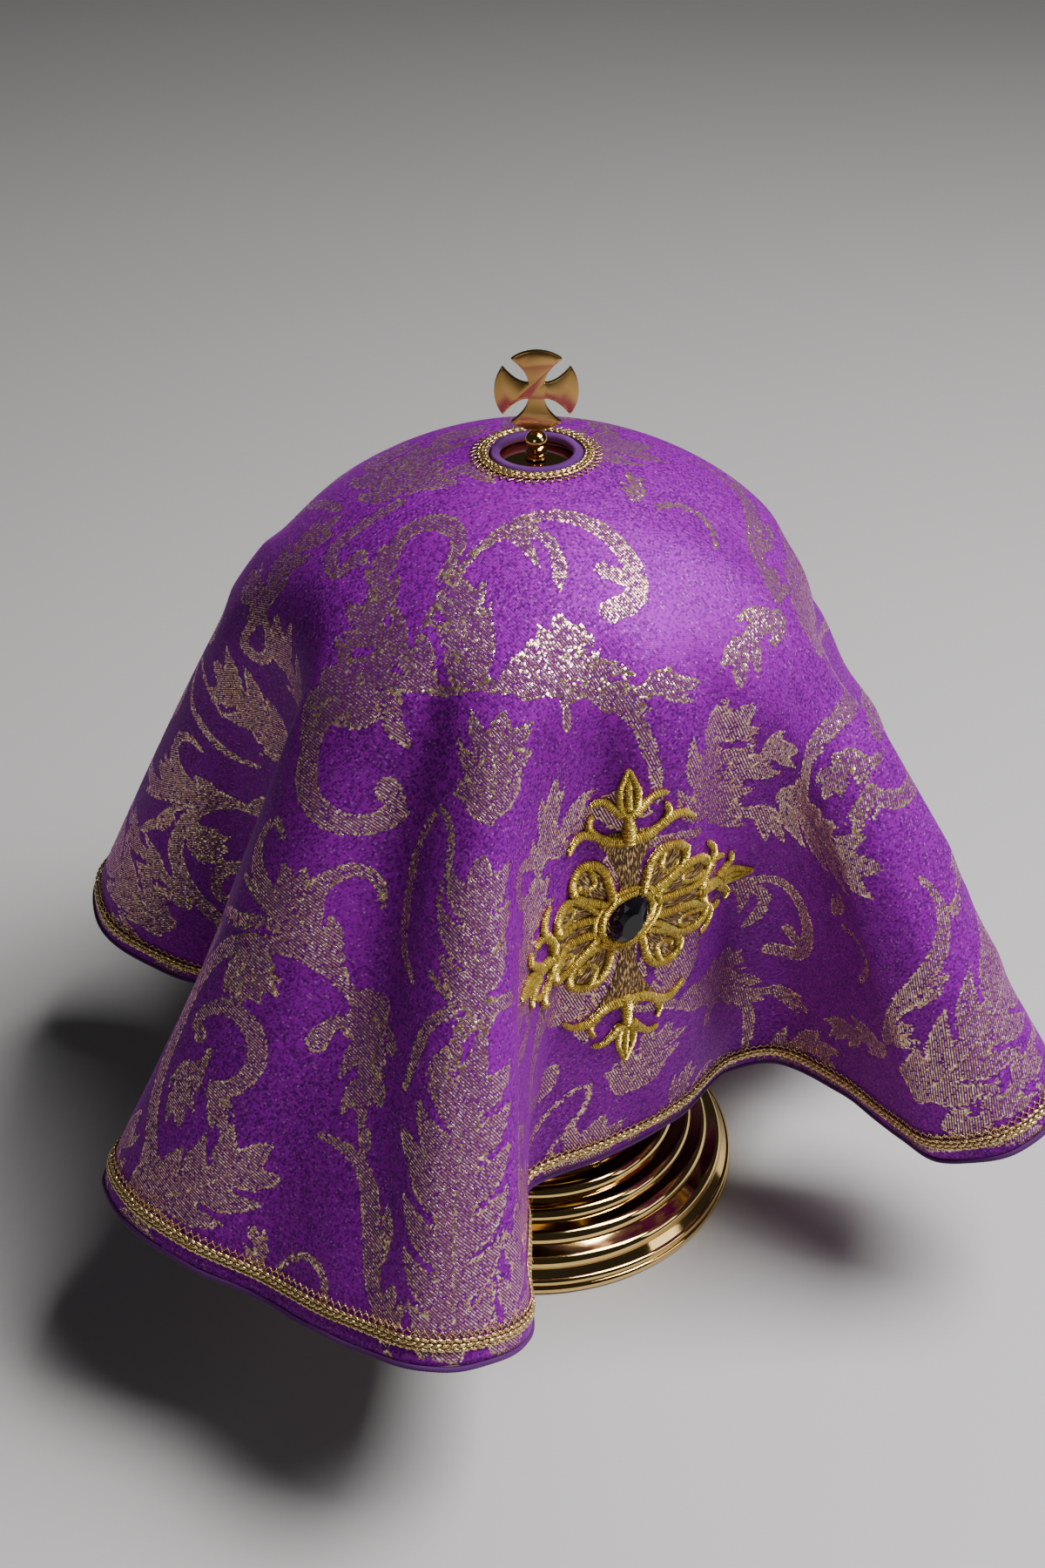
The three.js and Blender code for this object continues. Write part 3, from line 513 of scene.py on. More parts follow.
def leaf_strokes(spine, half_width, lobes, drawn):
    """A leaf as strokes: its body, a pointed lobe on each side of each step, and its tip."""
    line = smooth_line(spine, LEAF_POINTS)
    way = unit(np.gradient(line, axis=0))
    sides = np.stack([-way[:, 1], way[:, 0]], axis=-1)
    length = line_length(line)
    part = np.linspace(0, 1, LEAF_POINTS)

    def at(share, off):
        share = min(max(share, 0.0), 1.0)
        return np.array([np.interp(share, part, line[:, k] + sides[:, k] * off) for k in (0, 1)])

    body = half_width * (LEAF_BODY if lobes else 1.0)
    body = body * np.sin(math.pi * (0.1 + 0.9 * part[::5])) ** 0.7
    strokes = [(line[::5], body, half_width > VEINED_LEAF)]
    if not lobes:
        return strokes
    step = LOBED_LENGTH / lobes
    size = min(0.28 * length * step, 0.33 * half_width) + 0.45
    for side, name in ((1, "left"), (-1, "right")):
        if drawn not in ("both", name):
            continue
        for lobe in range(lobes):
            start = 0.02 + step * (lobe + (0.25 if side > 0 else 0.0))
            reach = half_width * math.sin(math.pi * (0.2 + 0.62 * (lobe + 0.5) / lobes)) ** 0.8
            forward = min(0.55 * reach / length + step * 0.55, 1 - start)
            root = at(start, side * 0.1 * half_width)
            bulge = at(start + 0.30 * forward, side * reach * 0.78)
            tip = at(start + forward * 1.15, side * reach * 1.28)
            t = np.linspace(0, 1, 7)[:, None]
            curve = (1 - t) ** 2 * root + 2 * t * (1 - t) * bulge + t * t * tip
            strokes.append((curve, size * pointed(t[:, 0], 1.1), False))
    t = np.linspace(0, 1, 7)
    end = np.stack([at(0.68 + 0.32 * share, 0) for share in t])
    strokes.append((end, 1.1 * size * pointed(t, 0.9), False))
    return strokes


def stem_strokes(points, root, middle, end, bulb):
    """A stem as one stroke that widens into a round bulb at its end."""
    line = smooth_line(points, 6 * len(points))
    share = np.linspace(0, 1, len(line))
    width = np.interp(share, [0, 0.45, 1], [root, middle, end])
    from_end = np.linalg.norm(line - line[-1], axis=1)
    width = np.maximum(width, np.sqrt(np.clip(bulb ** 2 - from_end ** 2, 0, None)))
    return [(line, width, False)]


def near_line(places, line, margin):
    """Which places lie in the box round a line, widened by a margin."""
    low = line.min(0) - margin
    high = line.max(0) + margin
    return np.all((places > low) & (places < high), axis=1)


def figure_depth(flat):
    """How deep inside the gold figure each place lies, and how far to which side of the
    nearest leaf vein, in mm."""
    turn = np.array([[-math.sin(DRAWING_AXIS), math.cos(DRAWING_AXIS)],
                     [math.cos(DRAWING_AXIS), math.sin(DRAWING_AXIS)]])
    drawn = flat @ turn.T
    across = turn @ np.array(REPEAT_ACROSS)
    drop = turn @ np.array(REPEAT_DROP)
    motif = [leaf_strokes(*row[1:]) for row in LEAVES] + [stem_strokes(*row[1:]) for row in STEMS]
    depth = np.full(len(drawn), GROUND_DEPTH)
    vein = np.full(len(drawn), NO_VEIN)
    for i in range(-3, 4):
        for j in range(-2, 3):
            shift = i * across + j * drop
            if np.linalg.norm(shift + np.array(MOTIF_MIDDLE)) > MOTIF_REACH:
                continue
            for strokes in motif:
                every = np.concatenate([stroke[0] for stroke in strokes]) + shift
                box = np.nonzero(near_line(drawn, every, LEAF_MARGIN))[0]
                if not len(box):
                    continue
                for line, width, veined in strokes:
                    edge = line + shift
                    near = box[near_line(drawn[box], edge, STROKE_MARGIN)]
                    if not len(near):
                        continue
                    spot = drawn[near][:, None, :]
                    start = edge[:-1]
                    way = np.diff(edge, axis=0)
                    share = np.clip(((spot - start) * way).sum(-1) / (way * way).sum(-1), 0, 1)
                    gap = spot - start - share[..., None] * way
                    off = np.linalg.norm(gap, axis=-1)
                    here = width[:-1] + np.diff(width) * share - off
                    best = here.argmax(-1)
                    rows = np.arange(len(near))
                    side = np.sign(way[best, 0] * gap[rows, best, 1]
                                   - way[best, 1] * gap[rows, best, 0])
                    here = here[rows, best]
                    better = here > depth[near]
                    depth[near[better]] = here[better]
                    vein[near[better]] = (side * off[rows, best])[better] if veined else NO_VEIN
    return depth, vein


figure, vein = figure_depth(face_flat)


def set_inputs(material, node, inputs):
    """Sets a node's inputs, or joins them where the value is another node's output."""
    for key, value in dict(inputs).items():
        if isinstance(value, bpy.types.NodeSocket):
            material.node_tree.links.new(value, node.inputs[key])
        else:
            node.inputs[key].default_value = value


def add_node(material, kind, inputs=(), **settings):
    node = material.node_tree.nodes.new(kind)
    for name, value in settings.items():
        setattr(node, name, value)
    set_inputs(material, node, inputs)
    return node


def result(material, operation, first, second=0.0, third=0.0):
    """One step of arithmetic on numbers or on other nodes' outputs."""
    inputs = {0: first, 1: second, 2: third}
    return add_node(material, "ShaderNodeMath", inputs, operation=operation).outputs[0]


def ramp_of(material, value, low, high, out_low=0.0, out_high=1.0):
    inputs = {0: value, 1: low, 2: high, 3: out_low, 4: out_high}
    return add_node(material, "ShaderNodeMapRange", inputs).outputs[0]


def colour_mix(material, share, first, second):
    inputs = {0: share, 6: first, 7: second}
    return add_node(material, "ShaderNodeMix", inputs, data_type="RGBA").outputs[2]


def vector_of(material, operation, inputs):
    return add_node(material, "ShaderNodeVectorMath", inputs, operation=operation).outputs[0]


def uv_of(material):
    return add_node(material, "ShaderNodeUVMap", uv_map="UVMap").outputs[0]


def place_on(material):
    return add_node(material, "ShaderNodeTexCoord").outputs["Object"]


def stretched(material, place, scale, turn=0, shift=0):
    inputs = {"Vector": place, "Location": (shift, shift, 0),
              "Rotation": (0, 0, math.radians(turn)), "Scale": scale}
    return add_node(material, "ShaderNodeMapping", inputs).outputs[0]


def noise_of(material, place, scale, detail=2.0):
    inputs = {"Vector": place, "Scale": scale, "Detail": detail}
    return add_node(material, "ShaderNodeTexNoise", inputs).outputs[0]


def bump_of(material, height, strength, distance, **more):
    inputs = {"Height": height, "Strength": strength, "Distance": distance, **more}
    return add_node(material, "ShaderNodeBump", inputs).outputs[0]


def new_material(name):
    material = bpy.data.materials.new(name)
    material.use_nodes = True
    return material, material.node_tree.nodes["Principled BSDF"]


WEFT_ROW = 0.68          # height of one pair of weft rows, one satin and one gold, mm
GOLD_SHARE = 0.48        # part of that height which the flat gold thread covers
STITCH_LENGTH = 0.56     # float of the gold weft between two binding points, mm
ROW_SHIFT = 0.37         # how far a row's binding points stand from the last row's, stitches
ROW_DRIFT = 0.5          # how far the rows wander, mm
RAGGED_EDGE = 0.7        # how far single stitches pass the figure's edge, mm
MISSED_STITCHES = 0.09   # share of the figure's stitches that are left out
MISSED_IN_RIM = 0.48     # the same between the gold rows of its dense outline
STRAY_STITCHES = 0.95    # the ground's gold rows show a stitch where the stitch's random chance is above this
STRAY_GOLD = 0.14        # and this faintly
FIGURE_RIM = 0.8         # width of the dense outline of the figure, mm
VEIN_HALF = 0.38         # half width of a leaf's dense midrib, mm
SATIN_DEEP = (0.070, 0.0, 0.125, 1)
SATIN = (0.262, 0.002, 0.35, 1)
FIGURE_GROUND = (0.13, 0.001, 0.18, 1)
GOLD_DULL = (0.43, 0.245, 0.14, 1)
# painted glint: the brighter gold that a random few stitches take, standing in for light caught by
# single floats
GOLD_PAINTED_GLINT = (1.0, 0.84, 0.54, 1)
SATIN_GLOSS = 0.42       # share of light that the satin floats send back like metal


def brocade_material():
    cloth, surface = new_material("purple_gold_brocade")
    flat = vector_of(cloth, "SCALE", {0: uv_of(cloth), 3: 2 * CUT_RADIUS})
    split = add_node(cloth, "ShaderNodeSeparateXYZ", {0: flat})
    along, across = split.outputs[0], split.outputs[1]
    across = result(cloth, "MULTIPLY_ADD", noise_of(cloth, flat, 0.16), ROW_DRIFT, across)
    rows = result(cloth, "DIVIDE", across, WEFT_ROW)
    row = result(cloth, "FLOOR", rows)
    stitches = result(cloth, "DIVIDE", along, STITCH_LENGTH)
    stitches = result(cloth, "MULTIPLY_ADD", row, ROW_SHIFT, stitches)
    stitch = result(cloth, "FLOOR", stitches)
    cell = add_node(cloth, "ShaderNodeCombineXYZ", {0: stitch, 1: row})
    chance = add_node(cloth, "ShaderNodeTexWhiteNoise", {"Vector": cell.outputs[0]},
                      noise_dimensions="2D")
    luck = chance.outputs[0]
    lean = chance.outputs[1]
    stray_and_glint_chance = add_node(cloth, "ShaderNodeSeparateColor", {0: lean}).outputs[1]

    # where the gold weft shows: nearly all of the gold rows inside the figure, and some of
    # the rows between them in its outline and midribs
    depth = add_node(cloth, "ShaderNodeAttribute", attribute_name="figure").outputs[2]
    ragged = result(cloth, "SUBTRACT", luck, 0.5)
    depth = result(cloth, "MULTIPLY_ADD", ragged, RAGGED_EDGE, depth)
    inside = result(cloth, "GREATER_THAN", depth, 0.0)
    rim = result(cloth, "LESS_THAN", depth, FIGURE_RIM)
    vein_side = add_node(cloth, "ShaderNodeAttribute", attribute_name="vein").outputs[2]
    on_vein = result(cloth, "LESS_THAN", result(cloth, "ABSOLUTE", vein_side), VEIN_HALF)
    dense = result(cloth, "MAXIMUM", rim, on_vein)
    in_row = result(cloth, "SUBTRACT", rows, row)
    gold_row = result(cloth, "LESS_THAN", in_row, GOLD_SHARE)
    sewn = result(cloth, "GREATER_THAN", luck, MISSED_STITCHES)
    hatch = result(cloth, "MULTIPLY", gold_row, sewn)
    sewn_rim = result(cloth, "GREATER_THAN", luck, MISSED_IN_RIM)
    edge = result(cloth, "MULTIPLY", dense, sewn_rim)
    gold = result(cloth, "MULTIPLY", inside, result(cloth, "MAXIMUM", hatch, edge))
    dot = result(cloth, "GREATER_THAN", stray_and_glint_chance, STRAY_STITCHES)
    dot = result(cloth, "MULTIPLY", dot, gold_row)
    dot = result(cloth, "MULTIPLY", dot, result(cloth, "SUBTRACT", 1.0, inside))
    gold = result(cloth, "MULTIPLY_ADD", dot, STRAY_GOLD, gold)

    tone = result(cloth, "MULTIPLY_ADD", luck, 0.5, noise_of(cloth, flat, 1.7, 3.0))
    tone = result(cloth, "MULTIPLY_ADD", noise_of(cloth, flat, 0.02), 0.4, tone)
    satin = colour_mix(cloth, ramp_of(cloth, tone, 0.62, 1.12), SATIN_DEEP, SATIN)
    ground = colour_mix(cloth, inside, satin, FIGURE_GROUND)
    # partly random tone, partly painted glints: the per-stitch chance gives most stitches the dull
    # thread colour and a few a much brighter gold that stands in for glitter
    thread = colour_mix(cloth, result(cloth, "POWER", stray_and_glint_chance, 2.1), GOLD_DULL, GOLD_PAINTED_GLINT)
    gloss = ramp_of(cloth, inside, 0, 1, SATIN_GLOSS, SATIN_GLOSS * 0.4)
    metal = result(cloth, "MAXIMUM", gold, gloss)

    # each float leans its own way, the gold ones more, so the figure glitters in the light
    turn = vector_of(cloth, "SUBTRACT", {0: lean, 1: (0.5, 0.5, 0.5)})
    lively = result(cloth, "MULTIPLY_ADD", gold, 0.46, 0.10)
    turn = vector_of(cloth, "SCALE", {0: turn, 3: lively})
    normal = add_node(cloth, "ShaderNodeNewGeometry").outputs[1]
    tilted = vector_of(cloth, "NORMALIZE", {0: vector_of(cloth, "ADD", {0: normal, 1: turn})})
    round_row = result(cloth, "PINGPONG", rows, 0.5)
    round_stitch = result(cloth, "PINGPONG", stitches, 0.5)
    yarn = result(cloth, "MULTIPLY", round_row, round_stitch)
    yarn = result(cloth, "MULTIPLY_ADD", gold, 0.12, yarn)
    set_inputs(cloth, surface, {
        "Base Color": colour_mix(cloth, gold, ground, thread),
        "Metallic": result(cloth, "MULTIPLY", metal, 0.82),
        "Roughness": ramp_of(cloth, gold, 0, 1, 0.57, 0.25),
        "Normal": bump_of(cloth, yarn, 0.35, 0.0004, Normal=tilted),
        "Specular IOR Level": 0.25, "Specular Tint": (0.9, 0.4, 1.0, 1),
        "Sheen Weight": 0.12, "Sheen Roughness": 0.3, "Sheen Tint": (0.85, 0.2, 1.0, 1)})
    return cloth


brocade_face = mesh_piece("brocade_face", face_points, face_faces, brocade_material(),
                          face_flat / (2 * CUT_RADIUS))
figure_layer = brocade_face.data.attributes.new("figure", "FLOAT", "POINT")
figure_layer.data.foreach_set("value", figure.astype(np.float32))
vein_layer = brocade_face.data.attributes.new("vein", "FLOAT", "POINT")
vein_layer.data.foreach_set("value", vein.astype(np.float32))
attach(brocade_face, "root")
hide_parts("veil")

# Lining: one round of dark plum satin, cut like the face and hung inside it. It shows in
# the mouths of the folds and is held at the neck and the hem by the overlocked edges.
LINING_TOP = -0.95
LINING_ZONES = [(NECK_RADIUS, 80, 240, 4), (86, FACE_EDGE, 480, 3.6)]
lining_rings = []
for start, end, columns, step in LINING_ZONES:
    lining_rings += [(row, LINING_TOP, columns) for row in rows_between(start, end, step)]
for start, end, columns, step in reversed(LINING_ZONES):
    lining_rings += [(row, -CLOTH_THICKNESS, columns) for row in rows_between(end, start, step)]
lining_share, lining_distance, lining_points, lining_faces = sheet_rings(lining_rings)


def lining_material():
    satin, surface = new_material("plum_satin_lining")
    streak = noise_of(satin, stretched(satin, uv_of(satin), (220, 1500, 1)), 1.0, 4.0)
    set_inputs(satin, surface, {
        "Base Color": colour_mix(satin, ramp_of(satin, streak, 0.3, 0.7),
                                 (0.055, 0.006, 0.075, 1), (0.10, 0.012, 0.135, 1)),
        "Roughness": ramp_of(satin, streak, 0.3, 0.7, 0.36, 0.5),
        "Normal": bump_of(satin, streak, 0.25, 0.0003),
        "Specular Tint": (0.9, 0.6, 0.95, 1), "Sheen Weight": 0.2})
    return satin


satin_lining = mesh_piece("satin_lining", lining_points, lining_faces, lining_material(),
                          flat_place(lining_share, lining_distance) / (2 * CUT_RADIUS))
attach(satin_lining, "root")
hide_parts("veil")

# Overlocked edges: violet thread sewn close over the cut edge of both layers, one round
# roll at the neck and a double roll, face and lining, at the hem.
NECK_ROLL = {"radius": 10.7, "section": 1.3, "height": 242.5, "columns": 900, "sides": 14}
NECK_STITCHES = 150
HEM_ROLL = {"columns": 3120, "sides": 10}
HEM_STITCHES = 1560
EDGE_READING = 246.0         # distance at which the hem's rolls read the cloth's slope, mm


def loop_piece(name, rings, material, uv):
    """A closed ring piece from an array of sections: columns by points by xyz."""
    columns, sides, _ = rings.shape
    faces = []
    for i in range(columns):
        n = (i + 1) % columns
        for k in range(sides):
            s = (k + 1) % sides
            faces.append((i * sides + k, i * sides + s, n * sides + s, n * sides + k))
    return mesh_piece(name, rings.reshape(-1, 3), faces, material, uv)


def grid_uv(along, around):
    """uv of a grid of points: one value for each row, and one for each column."""
    return np.stack(np.meshgrid(along, around, indexing="ij"), axis=-1).reshape(-1, 2)


def overlock_material(name, dark, light, stitches):
    """Strands that slant round the roll, three for each stitch, each painted darker at its edges
    as shade in the grooves between strands.
    """
    thread, surface = new_material(name)
    uv = uv_of(thread)
    split = add_node(thread, "ShaderNodeSeparateXYZ", {0: uv})
    turns = result(thread, "MULTIPLY", split.outputs[0], stitches * 3.0)
    turns = result(thread, "MULTIPLY_ADD", split.outputs[1], 1.3, turns)
    strand = result(thread, "PINGPONG", turns, 0.5)
    fluff = noise_of(thread, stretched(thread, uv, (stitches * 6, 12, 1)), 1.0, 3.0)
    # painted shade: darker at the edges of each strand, in the grooves between strands, varied by
    # the fluff noise
    shade = result(thread, "MULTIPLY", result(thread, "MULTIPLY", strand, 2.0), fluff)
    height = result(thread, "MULTIPLY_ADD", fluff, 0.5, strand)
    set_inputs(thread, surface, {
        "Base Color": colour_mix(thread, ramp_of(thread, shade, 0.1, 0.6), dark, light),
        "Roughness": 0.75, "Normal": bump_of(thread, height, 0.6, 0.0003),
        "Sheen Weight": 0.22, "Sheen Roughness": 0.4, "Sheen Tint": (0.85, 0.2, 0.95, 1)})
    return thread


turn_share = np.arange(NECK_ROLL["columns"]) / NECK_ROLL["columns"]
side_share = np.arange(NECK_ROLL["sides"]) / NECK_ROLL["sides"]
turn_angle = turn_share[:, None] * 2 * math.pi
side_angle = side_share[None, :] * 2 * math.pi
stitch_swell = 0.09 * np.abs(np.sin(turn_angle * NECK_STITCHES / 2 + 1.2 * np.sin(side_angle)))
uneven = 0.10 * np.sin(turn_angle * 3 + 1) + 0.07 * np.sin(turn_angle * 7 + 2)
roll_size = NECK_ROLL["section"] - 0.09 + stitch_swell + uneven * 0.5
roll_radius = NECK_ROLL["radius"] + uneven + roll_size * np.sin(side_angle)
roll_height = NECK_ROLL["height"] + roll_size * np.cos(side_angle)
neck_rings = np.stack([roll_radius * np.cos(turn_angle), roll_radius * np.sin(turn_angle),
                       roll_height], axis=-1) * MM
roll_uv = grid_uv(turn_share, side_share)
neck_overlock = loop_piece("neck_overlock", neck_rings,
                           overlock_material("violet_overlock", (0.04, 0.001, 0.09, 1),
                                             (0.13, 0.006, 0.20, 1), NECK_STITCHES), roll_uv)
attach(neck_overlock, "root")
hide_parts("neck_binding")

hem_share = np.arange(HEM_ROLL["columns"]) / HEM_ROLL["columns"]
hem_turn = hem_share * 2 * math.pi
edge_point = cloth_face(hem_share, np.full(HEM_ROLL["columns"], FACE_EDGE))
_, edge_down, edge_normal = across_and_down(cloth_face, hem_share,
                                            np.full(HEM_ROLL["columns"], EDGE_READING))
edge_down = unit(edge_down)
waver = 0.16 * np.sin(hem_turn * 61) + 0.12 * np.sin(hem_turn * 97 + 1)


def hem_roll(name, depth, drop, size, phase, material):
    """One roll of the hem: depth under the outer face, drop past the cloth's edge."""
    middle = edge_point - edge_normal * depth + edge_down * (drop + waver * phase)[:, None]
    angle = np.arange(HEM_ROLL["sides"]) / HEM_ROLL["sides"] * 2 * math.pi
    bead = np.abs(np.sin(hem_share[:, None] * math.pi * HEM_STITCHES + angle[None, :] * 0.5))
    radius = size * (0.93 + 0.09 * bead)
    rings = (middle[:, None, :]
             + edge_normal[:, None, :] * (radius * np.sin(angle))[..., None]
             - edge_down[:, None, :] * (radius * np.cos(angle))[..., None])
    uv = grid_uv(hem_share, angle / (2 * math.pi))
    piece = loop_piece(name, rings * MM, material, uv)
    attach(piece, "root")
    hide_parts("hem_binding")
    return piece


hem_thread = overlock_material("dark_violet_overlock", (0.03, 0.001, 0.05, 1),
                               (0.13, 0.004, 0.19, 1), HEM_STITCHES)
hem_roll_face = hem_roll("hem_roll_face", 0.35, 0.95, 0.82, 0.7, hem_thread)
hem_roll_lining = hem_roll("hem_roll_lining", 1.75, 1.35, 0.72, 1.0, hem_thread)

# Gold braids: three rows of metal chain stitch with a wire picot edge, machine sewn on
# the face round the neck and all round the hem. The loops point to the crown at the hem
# and outward at the neck.
CHAIN_LINK = 2.1
LINK_SIDES = 6
PICOT_PITCH = 2.25
PICOT_WIRE = 0.17        # half thickness of the wire
PICOT_STEPS = 10         # steps in one loop of it
PICOT_SWING = 0.15       # how far a loop bulges past its foot, as a share of the pitch


def row_length(distance):
    """The rows near the hem follow it, and those round the neck are circles."""
    return hem_length if distance > 100 else 2 * math.pi * distance


def chain_row(distance, pitch, width, lift, slant):
    """Slanted overlapping links of one row: points by link, and the faces of one link."""
    count = round(row_length(distance) / pitch)
    middle = (np.arange(count) + 0.5 * (slant > 0)) / count
    rim = np.full(count, float(distance))
    centre = cloth_at(middle, rim, np.full(count, lift))
    side, _, normal = across_and_down(cloth_face, middle, rim)
    side = unit(side)
    down = np.cross(side, normal)
    lean = math.radians(slant)
    forward = side * math.cos(lean) + down * math.sin(lean)
    cross = down * math.cos(lean) - side * math.sin(lean)
    stations = [(-0.62, 0.0), (-0.5, 0.62), (-0.15, 1.0), (0.25, 0.92), (0.5, 0.5), (0.62, 0.0)]
    points = []
    for along, size in stations:
        angles = np.arange(LINK_SIDES) / LINK_SIDES * 2 * math.pi if size else [0.0]
        for angle in angles:
            points.append(centre + (forward * along * pitch
                                    + cross * width / 2 * size * math.cos(angle)
                                    + normal * width * 0.42 * size * math.sin(angle)) * MM)
    points = np.stack(points, axis=1)
    rings = len(stations) - 2
    faces = []
    for k in range(LINK_SIDES):
        n = (k + 1) % LINK_SIDES
        faces.append((0, 1 + k, 1 + n))
        for ring in range(rings - 1):
            low = 1 + ring * LINK_SIDES
            high = low + LINK_SIDES
            faces.append((low + k, high + k, high + n, low + n))
        last = 1 + (rings - 1) * LINK_SIDES
        faces.append((last + k, last + LINK_SIDES, last + n))
    return points, faces


def picot_wire(distance, height, pitch, lift):
    """A wire in loops along a row, outward, or to the crown where the height is below 0:
    its middle line, and the ways to its side and up from the cloth."""
    around = row_length(distance)
    loops = round(around / pitch)
    steps = loops * PICOT_STEPS
    turn = np.arange(steps) / steps
    phase = turn * loops * 2 * math.pi
    share = turn - PICOT_SWING * pitch / around * np.sin(2 * phase)
    out = 0.5 - 0.5 * np.cos(phase)
    reach = distance + height * out ** 0.8
    line = cloth_at(share, reach, lift + 0.25 * out)
    way = unit(np.roll(line, -1, axis=0) - np.roll(line, 1, axis=0))
    _, _, normal = across_and_down(cloth_face, share, reach)
    side = unit(np.cross(way, normal))
    return line, side, np.cross(side, way)


def braid_piece(name, rows, picot, material):
    points = []
    faces = []
    total = 0
    for distance, pitch, width, lift, slant in rows:
        links, shape = chain_row(distance, pitch, width, lift, slant)
        count, size, _ = links.shape
        points.append(links.reshape(-1, 3))
        for link in range(count):
            first = total + link * size
            faces += [tuple(first + corner for corner in face) for face in shape]
        total += count * size
    line, side, up = picot_wire(*picot)
    for k in range(4):
        angle = (k + 0.5) * math.pi / 2
        points.append(line + (side * math.cos(angle) + up * math.sin(angle)) * PICOT_WIRE * MM)
    steps = len(line)
    for i in range(steps):
        n = (i + 1) % steps
        for k in range(4):
            s = (k + 1) % 4
            faces.append((total + k * steps + i, total + k * steps + n,
                          total + s * steps + n, total + s * steps + i))
    return mesh_piece(name, np.concatenate(points), faces, material)


def gold_thread_material(name, dull, bright, roughness):
    gold, surface = new_material(name)
    place = place_on(gold)
    cells = add_node(gold, "ShaderNodeTexVoronoi", {"Vector": place, "Scale": 1500.0})
    tone = ramp_of(gold, noise_of(gold, place, 2600.0), 0.3, 0.7)
    set_inputs(gold, surface, {
        "Base Color": colour_mix(gold, tone, dull, bright),
        "Roughness": ramp_of(gold, tone, 0, 1, roughness + 0.12, roughness - 0.06),
        "Normal": bump_of(gold, cells.outputs[0], 0.5, 0.0003),
        "Metallic": 0.92})
    return gold


braid_gold = gold_thread_material("gold_braid_thread", (0.34, 0.17, 0.045, 1),
                                  (1.0, 0.80, 0.40, 1), 0.24)
# row: distance, link pitch, width, lift over the cloth, slant in degrees
hem_braid_rows = [
    (240.95, CHAIN_LINK, 1.15, 0.55, 14),
    (242.15, CHAIN_LINK, 1.2, 0.75, -14),
    (243.35, CHAIN_LINK, 1.15, 0.55, 14),
]
hem_chain = braid_piece("hem_chain_braid", hem_braid_rows, (240.4, -2.1, PICOT_PITCH, 0.3),
                        braid_gold)
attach(hem_chain, "root")
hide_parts("hem_braid")
neck_braid_rows = [
    (12.9, 1.75, 0.95, 0.5, 14),
    (13.85, 1.75, 1.0, 0.7, -14),
    (14.8, 1.75, 0.95, 0.5, 14),
]
neck_chain = braid_piece("neck_chain_braid", neck_braid_rows, (15.2, 1.9, 2.0, 0.3), braid_gold)
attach(neck_chain, "root")
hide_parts("neck_braid")

# Cross: raised machine embroidery in gold rayon and metal thread on the front panel. Four
# flared arms end in an almond bud with curls, and looped petals stand between them. All
# outlines are padded satin stitch cords, and the arms and petals are filled in flat.
CROSS_DISTANCE = 150.3
CROSS_MERIDIAN = 63.9
CROSS_LEAN = -4
CORD_LIFT = 0.9
CORD_STEP = 0.45
CORD_SIDES = 10
STITCH_PITCH = 0.55      # width of one thread across a cord, mm
CORD_UNEVEN = 0.09       # how far the threads of a cord stand out or in, share of its width
cord_chance = np.random.default_rng(11)

# cord of one arm: line in mm as (outward, sideways), half width at root and end
ARM_CORDS = [
    ([(26.5, 0.8), (27.3, 4.6), (29.8, 8.0), (33.2, 9.7), (36.8, 8.8)], 1.7, 0.8),
    ([(29.4, 7.4), (31.4, 11.0), (30.8, 14.6), (27.8, 17.6)], 1.6, 0.7),
    ([(34.4, 1.2), (37.8, 3.8), (40.0, 6.4), (39.6, 9.6)], 1.5, 0.75),
    ([(34.0, 0.6), (37.4, 1.8), (42.0, 2.1), (45.6, 1.1), (48.8, 0)], 1.2, 0.65),
]
ARM_SPINE = [([(25, 0), (30, 0), (36, 0)], 2.0, 1.3), ([(36, 0), (41, 0), (46.5, 0)], 1.2, 0.7)]
ARM_PANEL = [(9, 1.8), (14, 2.4), (19, 3.7), (24, 5.8), (27.4, 7.6), (29.4, 4), (29.4, 0)]
BUD_PANEL = [(34.5, 0), (37.5, 1.4), (41.5, 1.7), (45, 0.9), (48, 0)]
# turn of each arm from the crown, its length, and the turns of the scrolls beside it
ARM_SIZES = {0: 1.04, 90: 0.81, 180: 1.17, 270: 0.94}
SCROLL_TURNS = (32, 65, 115, 148, 212, 245, 295, 328)
SCROLL_CORDS = [
    ([(8.2, 0.8), (13.5, 3.6), (19.2, 4.9), (23.8, 3.1), (25.0, -0.8), (22.6, -4.3),
      (18.0, -4.6), (13.0, -2.8), (8.2, -0.8)], 1.25, 1.25),
    ([(23.9, -3.4), (20.8, -2.6), (17.4, -1.1), (16.6, 1.2), (18.8, 2.8), (20.9, 1.4)],
     1.1, 0.7),
]
SCROLL_PANEL = [(10, 0.4), (14, 3.0), (19.2, 4.0), (23.0, 2.4), (23.8, -0.6), (21.8, -3.2),
                (18.0, -3.6), (13.0, -1.8)]


def cross_place(outward, sideways, turn):
    """Share and distance in the flat cloth of a place on the cross turned by an angle."""
    angle = math.radians(turn + CROSS_LEAN)
    up = outward * math.cos(angle) - sideways * math.sin(angle)
    right = outward * math.sin(angle) + sideways * math.cos(angle)
    along = CROSS_DISTANCE - up
    return (math.radians(CROSS_MERIDIAN) + np.arctan2(right, along)) / (2 * math.pi), \
        np.hypot(along, right)


